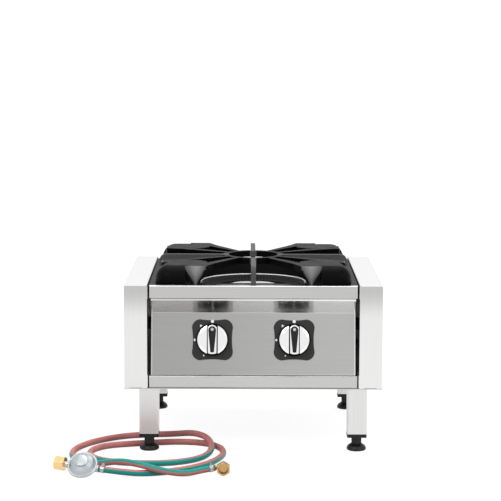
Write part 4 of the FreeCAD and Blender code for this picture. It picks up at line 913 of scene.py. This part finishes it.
@dataclass(frozen=True)
class Studio:
    """White sweep, soft lamps and a plain world."""

    floor_half: float = 9.0
    floor_level: float = -0.0004
    floor_colour: float = 0.25
    floor_glow: float = 0.88
    world_level: float = 0.62
    lamps: tuple[Lamp, ...] = (
        Lamp("key_lamp", (-1.6, -2.4, 2.6), (1.8, 1.4), 34.0),
        Lamp("fill_lamp", (2.2, -2.0, 1.9), (1.6, 1.4), 20.0),
        Lamp("top_lamp", (0.0, 0.2, 2.9), (2.2, 2.2), 34.0),
    )

    def build(self) -> None:
        """Make the floor, the lamps and the world."""
        self.floor()
        for lamp in self.lamps:
            lamp.build()
        self.world()
        bpy.context.scene.view_settings.view_transform = "Standard"

    def floor(self) -> None:
        """Flat floor: part lit and part glowing, so that it is white with a soft shadow."""
        signs = ((-1, -1), (1, -1), (1, 1), (-1, 1))
        half, level = self.floor_half, self.floor_level
        points = np.array([(x * half, y * half, level) for x, y in signs])
        made = mesh_piece("floor", points, [(0, 1, 2, 3)], smooth=False)
        material = bpy.data.materials.new("floor_paper")
        material.use_nodes = True
        material.node_tree.nodes.clear()
        nodes = Nodes(material.node_tree)
        matt = nodes.node("BsdfDiffuse", Color=(*(self.floor_colour,) * 3, 1.0))
        strength = nodes.times(self.seen(nodes), self.floor_glow)
        glow = nodes.node("Emission", Strength=strength)
        both = nodes.node("AddShader")
        for index, part in enumerate((matt, glow)):
            nodes.feed(both, index, part.outputs[0])
        nodes.node("OutputMaterial", Surface=both.outputs[0])
        made.data.materials.append(material)
        LOG.info("floor: %.0f m wide", 2 * self.floor_half)

    def seen(self, nodes: Nodes) -> Socket:
        """Tell the rays that see the white of the studio from those that only light.

        Args:
            nodes: Tree to add the nodes to.

        Returns:
            One for camera, glossy and transmission rays, else zero.
        """
        path = nodes.node("LightPath")
        total = path.outputs["Is Camera Ray"]
        for name in ("Is Glossy Ray", "Is Transmission Ray"):
            total = nodes.math("ADD", total, path.outputs[name])
            total.node.use_clamp = True
        return total

    def world(self) -> None:
        """White for what the camera and metal see, and an even level for the rest."""
        world = bpy.data.worlds.new("studio")
        bpy.context.scene.world = world
        world.use_nodes = True
        nodes = Nodes(world.node_tree)
        level = nodes.node("MapRange", Value=self.seen(nodes), To_Min=self.world_level)
        back = world.node_tree.nodes["Background"]
        nodes.feed(back, "Strength", level.outputs[0])
        nodes.feed(back, "Color", (1.0, 1.0, 1.0, 1.0))


# -- gas hose
@dataclass
class GasHose:
    """Hose on the floor: a route for its NURBS line, and a striped tube along it.

    The route is in metres. The tube's turn about its line, in degrees, eases between the shares of
    the length in turn_at.
    """

    radius: float = 7.0 * MM
    sides: int = 28
    order: int = 3
    resolution: int = 14
    route: np.ndarray = field(default_factory=lambda: MM * np.array([
        (-330.62, -465.49, 15.39), (-294.01, -475.30, 12.73), (-242, -474, 7.5), (-190, -459, 7),
        (-143, -432, 7), (-104, -393, 7), (-76, -343, 7), (-64, -286, 7), (-74, -230, 7),
        (-110, -190, 7), (-166, -177, 7), (-226, -188, 7), (-283, -201, 7), (-336, -220, 7),
        (-367, -266, 7), (-362, -324, 7), (-324, -364, 7), (-265, -381, 7), (-203, -384, 7),
        (-145, -363, 7), (-104, -318, 7), (-90, -264, 14), (-102, -210, 24.5), (-136, -161, 24.5),
        (-182, -127, 13), (-236, -108, 7), (-294, -120, 7), (-344, -156, 7), (-384, -206, 7),
        (-406, -266, 7), (-402, -328, 7), (-370, -374, 7), (-330, -406, 12), (-288, -436, 26),
        (-240, -470, 26), (-190, -484, 15), (-146, -474, 7), (-112, -459, 11.5),
        (-82.66, -448.00, 14.07)]))
    turn_at: tuple[float, ...] = (0.0, 0.12, 0.36, 0.44, 0.52, 0.60, 0.80, 0.86, 1.0)
    turn: tuple[float, ...] = (-5.0, -10.0, 5.0, 18.0, 5.0, -10.0, 0.0, 62.0, 62.0)
    fittings: tuple[str, ...] = ("regulator_body", "regulator_cap", "regulator_nipple", "union_nut",
                                 "hose_clamps", "end_elbow", "end_nut")

    def line(self) -> np.ndarray:
        """Trace the NURBS line of the route, as Blender does for a curve with no bevel.

        Returns:
            Points along the line.
        """
        data = bpy.data.curves.new("hose_line", "CURVE")
        data.dimensions = "3D"
        data.resolution_u = self.resolution
        spline = data.splines.new("NURBS")
        spline.points.add(len(self.route) - 1)
        weighted = np.column_stack([self.route, np.ones(len(self.route))])
        spline.points.foreach_set("co", weighted.ravel())
        spline.order_u = self.order
        spline.use_endpoint_u = True
        curve = linked("hose_line", data)
        bpy.context.view_layer.update()
        mesh = bpy.data.meshes.new_from_object(curve)
        points = np.empty(len(mesh.vertices) * 3)
        mesh.vertices.foreach_get("co", points)
        bpy.data.objects.remove(curve)
        bpy.data.meshes.remove(mesh)
        return points.reshape(-1, 3)

    def rings(self, line: np.ndarray, along: np.ndarray, way: np.ndarray) -> np.ndarray:
        """Stand a circle square to the line at each of its points.

        A circle starts on the underside and has its middle at the top, before its turn.

        Args:
            line: Points of the line.
            along: Length of the line up to each point.
            way: Shares of the way round at which a circle has its points.

        Returns:
            Array of rings, of points, of coordinates.
        """
        ahead = np.gradient(line, axis=0)
        ahead /= np.linalg.norm(ahead, axis=1, keepdims=True)
        right = np.cross(ahead, (0.0, 0.0, 1.0))
        right /= np.linalg.norm(right, axis=1, keepdims=True)
        upward = np.cross(right, ahead)
        turn = np.radians(np.interp(along / along[-1], self.turn_at, self.turn))
        angle = (turn[:, None] + (way[None, :] - 0.5) * 2 * np.pi)[..., None]
        ring = np.cos(angle) * right[:, None, :] + np.sin(angle) * upward[:, None, :]
        return line[:, None, :] + self.radius * ring

    def unwrap(self, tube: Object, along: np.ndarray, way: np.ndarray) -> None:
        """Give the tube a UV map: the way round, and the length in metres.

        Args:
            tube: The tube, its two caps last among its faces.
            along: Length of the line up to each ring.
            way: Share of the way round of each point in a ring, from 0 to 1.
        """
        row, column = np.divmod(np.arange((len(along) - 1) * self.sides), self.sides)
        around = np.stack([way[column], way[column + 1], way[column + 1], way[column]], axis=1)
        length = np.stack([along[row], along[row], along[row + 1], along[row + 1]], axis=1)
        corners = np.stack([around[:, ::-1], length[:, ::-1]], axis=2).reshape(-1, 2)
        caps = np.zeros((2 * self.sides, 2))
        layer = tube.data.uv_layers.new(name=HOSE_MAP)
        layer.data.foreach_set("uv", np.concatenate([corners, caps]).ravel())

    def build(self, finish: Material) -> None:
        """Args:
            finish: Material of the tube.
        """
        line = self.line()
        along = np.concatenate([[0.0], np.cumsum(np.linalg.norm(np.diff(line, axis=0), axis=1))])
        way = np.linspace(0.0, 1.0, self.sides + 1)
        points = self.rings(line, along, way[:-1]).reshape(-1, 3)
        first = np.arange(len(points) - self.sides)
        following = np.where((first + 1) % self.sides, first + 1, first + 1 - self.sides)
        faces = np.stack([first + self.sides, following + self.sides, following, first], axis=1)
        caps = [tuple(range(self.sides)), tuple(range(len(points) - self.sides, len(points)))[::-1]]
        tube = mesh_piece("gas_hose_tube", points, [*faces.tolist(), *caps])
        self.unwrap(tube, along, way)
        tube.data.materials.append(finish)
        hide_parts("gas_hose")
        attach(tube, "range_body")
        LOG.info("gas hose: %.3f m, %d points", along[-1], len(line))


# -- control panel
class Mark(Enum):
    """Marks on a knob's plate, each by its middle from the knob's axis, in millimetres."""

    DOT = (0.0, 41.4)
    TRIANGLE = (-25.5, 31.4)
    LARGE_FLAME = (-40.2, -0.4)
    SMALL_FLAME = (-19.6, -35.6)


@dataclass(frozen=True)
class KnobMarks:
    """Generic marks printed on a knob's plate and insert, in millimetres in the plane of the panel."""

    plate_top: float = 3.0
    ink: float = 0.12
    dot_radius: float = 3.5
    dot_sides: int = 28
    triangle: tuple[Pair, ...] = ((-2.4, -3.3), (3.2, 0.4), (-2.4, 3.1))
    large_flame: float = 2.3
    small_flame: float = 1.6
    pointer_radius: float = 3.4
    pointer_sides: int = 32
    pointer_middle: Pair = (0.0, 22.6)
    pointer_top: float = 35.2
    pointer_sunk: float = 0.1

    def circle(self, sides: int) -> np.ndarray:
        """Points round a circle of radius 1."""
        angle = np.linspace(0.0, 2 * np.pi, sides, endpoint=False)
        return np.stack([np.cos(angle), np.sin(angle)], axis=1)

    def outline(self, mark: Mark) -> np.ndarray:
        """Draw a mark about its own middle.

        A triangle points right, and a flame is a drop: a circle whose radius shrinks to a tip at
        the top.

        Args:
            mark: Which mark.

        Returns:
            Points of its outline.
        """
        circle = self.circle(self.dot_sides)
        if mark is Mark.DOT:
            return self.dot_radius * circle
        if mark is Mark.TRIANGLE:
            return np.array(self.triangle)
        width = self.large_flame if mark is Mark.LARGE_FLAME else self.small_flame
        pinch = 0.5 + 0.5 * np.clip(circle[:, 1], 0, 1) ** 2
        return width * circle * np.stack([1.5 - pinch, 0.9 + 0.6 * pinch], axis=1)

    def raised(self, name: str, side: Side, outlines: Sequence[np.ndarray], low: float, high: float,
               finish: Material) -> Object:
        """Raise outlines off the panel at a knob, as one thin piece.

        Args:
            name: Name of the piece.
            side: Side of the knob.
            outlines: Points of each outline from the knob's axis.
            low: Height of the piece's back off the panel.
            high: Height of its face.
            finish: Material of the piece.

        Returns:
            The piece.
        """
        points, faces, start = [], [], 0
        for outline in outlines:
            count = len(outline)
            points += [np.column_stack([outline, np.full(count, level)]) for level in (low, high)]
            back, face = range(start, start + count), range(start + count, start + 2 * count)
            faces += [tuple(face), tuple(back)[::-1]]
            faces += [(back[k], back[(k + 1) % count], face[(k + 1) % count], face[k])
                      for k in range(count)]
            start += 2 * count
        knob = np.array(Matrix.Translation((side.value * PANEL.spacing / 2, PANEL.depth, PANEL.height))
                        @ Matrix.Rotation(math.pi / 2 - PANEL.tilt, 4, "X"))
        world = MM * np.concatenate(points) @ knob[:3, :3].T + knob[:3, 3]
        piece = mesh_piece(name, world, faces, smooth=False)
        piece.data.materials.append(finish)
        LOG.info("%s: %d faces", name, len(faces))
        return piece

    def build(self, side: Side, ink: Material, pointer: Material) -> None:
        """Print the four marks beside a knob, and the dot on its insert.

        Args:
            side: Side of the knob.
            ink: Material of the marks.
            pointer: Material of the dot.
        """
        name = side.name.lower()
        outlines = [self.outline(mark) + mark.value for mark in Mark]
        marks = self.raised(name + "_plate_marks", side, outlines, self.plate_top - self.ink,
                            self.plate_top + self.ink, ink)
        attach(marks, "range_body")
        circle = self.pointer_radius * self.circle(self.pointer_sides) + self.pointer_middle
        dot = self.raised(name + "_knob_dot", side, [circle], self.pointer_top - self.pointer_sunk,
                          self.pointer_top + self.ink, pointer)
        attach(dot, name + "_knob")


# -- finishes of the CAD nodes
class Wardrobe:
    """Every finish of the range, and the nodes that wear it."""

    def __init__(self) -> None:
        """Build each material once."""
        moulded = {"scale": 1500.0, "tone": 0.2, "depth": 0.00003}
        finishes = {
            # cheeks: painted shade darker towards the top, a painted highlight on the top edge, and
            # painted shade on the inner flanks
            "cheek": SteelFinish("cheek_steel", (0.75, 0.75, 0.745), 0.34, Grain.UPRIGHT,
                                 fade=Step(0.300, 0.372, 1.0, 0.68), top_highlight_from=0.3794,
                                 painted_shade=PaintedShade((0.0, 0.2385)), shine=0.05),
            # tray: painted shade under the pan support, and a painted highlight on the nose's top
            "tray": TrayFinish("tray_steel"),
            # panel: painted light, lighter towards the right, and a facet and folds painted brighter
            "panel": SteelFinish("panel_steel", (0.385, 0.385, 0.38), 0.30, Grain.ACROSS,
                                 sweep=Step(-0.22, 0.24, 0.95, 1.20), facet=Facet(0.3155)),
            "rail": SteelFinish("rail_steel", (0.52, 0.52, 0.515), 0.32, Grain.ACROSS),
            "leg": SteelFinish("leg_steel", (0.68, 0.68, 0.675), 0.32, Grain.UPRIGHT, streak=0.28),
            # frame: painted shade on its sides, beside the cheeks
            "frame": SteelFinish("frame_steel", (0.22, 0.22, 0.225), 0.45, Grain.CAST, streak=0.3,
                                 painted_shade=PaintedShade((0.2285, 0.25)), shine=0.05),
            "fastener": SteelFinish("fastener_steel", (0.66, 0.66, 0.67), 0.24, Grain.CAST),
            "clamp": SteelFinish("clamp_steel", (0.36, 0.37, 0.38), 0.30, Grain.CAST),
            "probe": SteelFinish("probe_metal", (0.72, 0.72, 0.72), 0.18, Grain.UPRIGHT),
            "pipe": SteelFinish("pipe_steel", (0.62, 0.63, 0.64), 0.30, Grain.CAST),
            "chrome": SteelFinish("knob_chrome", (0.86, 0.86, 0.86), 0.12, Grain.UPRIGHT, streak=0.06,
                                  inlay=Inlay()),
            # pan support: black enamel with a painted highlight on its lugs and fingers
            "support": CastFinish("support_enamel", (0.002, 0.002, 0.0022), 0.45, scale=420.0,
                                  depth=0.0002, shine=0.05, painted_highlight=PaintedHighlight()),
            "iron": CastFinish("burner_iron", (0.045, 0.045, 0.045), 0.6, metallic=0.4, depth=0.0003),
            "brass": CastFinish("brass", (0.80, 0.55, 0.26), 0.22, metallic=1.0, scale=1200.0,
                                tone=0.15, depth=0.00003),
            "bronze": CastFinish("dull_brass", (0.52, 0.33, 0.14), 0.34, metallic=1.0, scale=1200.0,
                                 tone=0.2, depth=0.00003),
            # knob plates: a ring of painted shadow about each knob
            "plate": CastFinish("plate_enamel", (0.022, 0.022, 0.023), 0.36, shine=0.35,
                                ring=(33.0 * MM, 37.0 * MM), **moulded),
            "knob": CastFinish("knob_plastic", (0.006, 0.006, 0.007), 0.35, shine=0.3, **moulded),
            "skirt": CastFinish("skirt_plastic", (0.001, 0.001, 0.001), 0.6, shine=0.03, **moulded),
            "foot": CastFinish("foot_plastic", (0.006, 0.006, 0.007), 0.42, scale=900.0, depth=0.00006,
                               shine=0.3),
            "regulator": CastFinish("regulator_zinc", (0.44, 0.47, 0.49), 0.36, metallic=0.85,
                                    scale=900.0, tone=0.12, depth=0.00004),
            "outer_crown": CrownFinish("outer_crown_metal", 129 * MM, 6.8 * MM, 0.0),
            # the inner crown lies wholly within the painted light of its core
            "inner_crown": CrownFinish("inner_crown_metal", 57 * MM, 6.0 * MM, 58 * MM),
            "hose": HoseFinish("hose_rubber", (0.60, 0.22, 0.205), (0.010, 0.31, 0.27), 0.125),
            "pointer": PrintFinish("pointer_ink", (0.52, 0.52, 0.52)),
            "ink": PrintFinish("plate_ink", (0.95, 0.95, 0.95)),
        }
        self.materials = {name: finish.build() for name, finish in finishes.items()}

    def dress_all(self) -> None:
        """Give each CAD node its finish, in all its slots."""
        corners = ("front_left", "front_right", "rear_left", "rear_right")
        worn = {
            "cheek": ["left_cheek", "right_cheek"],
            "tray": ["hob_tray"],
            "panel": ["control_panel"],
            "rail": ["bottom_rail", "rear_panel", "base_plate"],
            "leg": ["leg_" + corner for corner in corners],
            "frame": ["front_crossbar", "rear_crossbar", "left_carrier", "right_carrier",
                      "inner_burner_bars"],
            "fastener": ["inlet_nipple", "left_stem", "right_stem", "rear_screws", "leg_bolts"],
            "probe": ["outer_thermocouple", "inner_thermocouple"],
            "pipe": ["gas_manifold", "left_feed_pipe", "right_feed_pipe", "regulator_nipple"],
            "chrome": ["left_knob_face", "left_knob_grip", "right_knob_face", "right_knob_grip"],
            "support": ["pan_support"],
            "iron": ["outer_burner_body", "inner_burner_body", "outer_mixing_tube",
                     "inner_mixing_tube"],
            "brass": ["injectors", "left_valve", "right_valve", "union_nut"],
            "bronze": ["end_nut", "end_elbow"],
            "clamp": ["hose_clamps"],
            "plate": ["left_knob_plate", "right_knob_plate"],
            "knob": ["left_knob_insert", "right_knob_insert"],
            "skirt": ["left_knob_skirt", "right_knob_skirt"],
            "foot": ["leg_plugs"] + ["foot_" + corner for corner in corners],
            "regulator": ["regulator_body", "regulator_cap"],
            "outer_crown": ["outer_burner_cap"],
            "inner_crown": ["inner_burner_cap"],
        }
        for finish, nodes in worn.items():
            for node in nodes:
                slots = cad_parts[node].data.materials
                slots.clear()
                slots.append(self.materials[finish])
            LOG.info("%s on %s", finish, ", ".join(nodes))


def main() -> None:
    """Build the camera, the hose, the finishes and the marks, then the studio."""
    logging.basicConfig(level=logging.INFO, format="%(message)s")
    PhotoCamera().build()
    wardrobe = Wardrobe()
    GasHose().build(wardrobe.materials["hose"])
    wardrobe.dress_all()
    marks = KnobMarks()
    for side in Side:
        marks.build(side, wardrobe.materials["ink"], wardrobe.materials["pointer"])
    Studio().build()


if __name__ == "__main__":
    main()
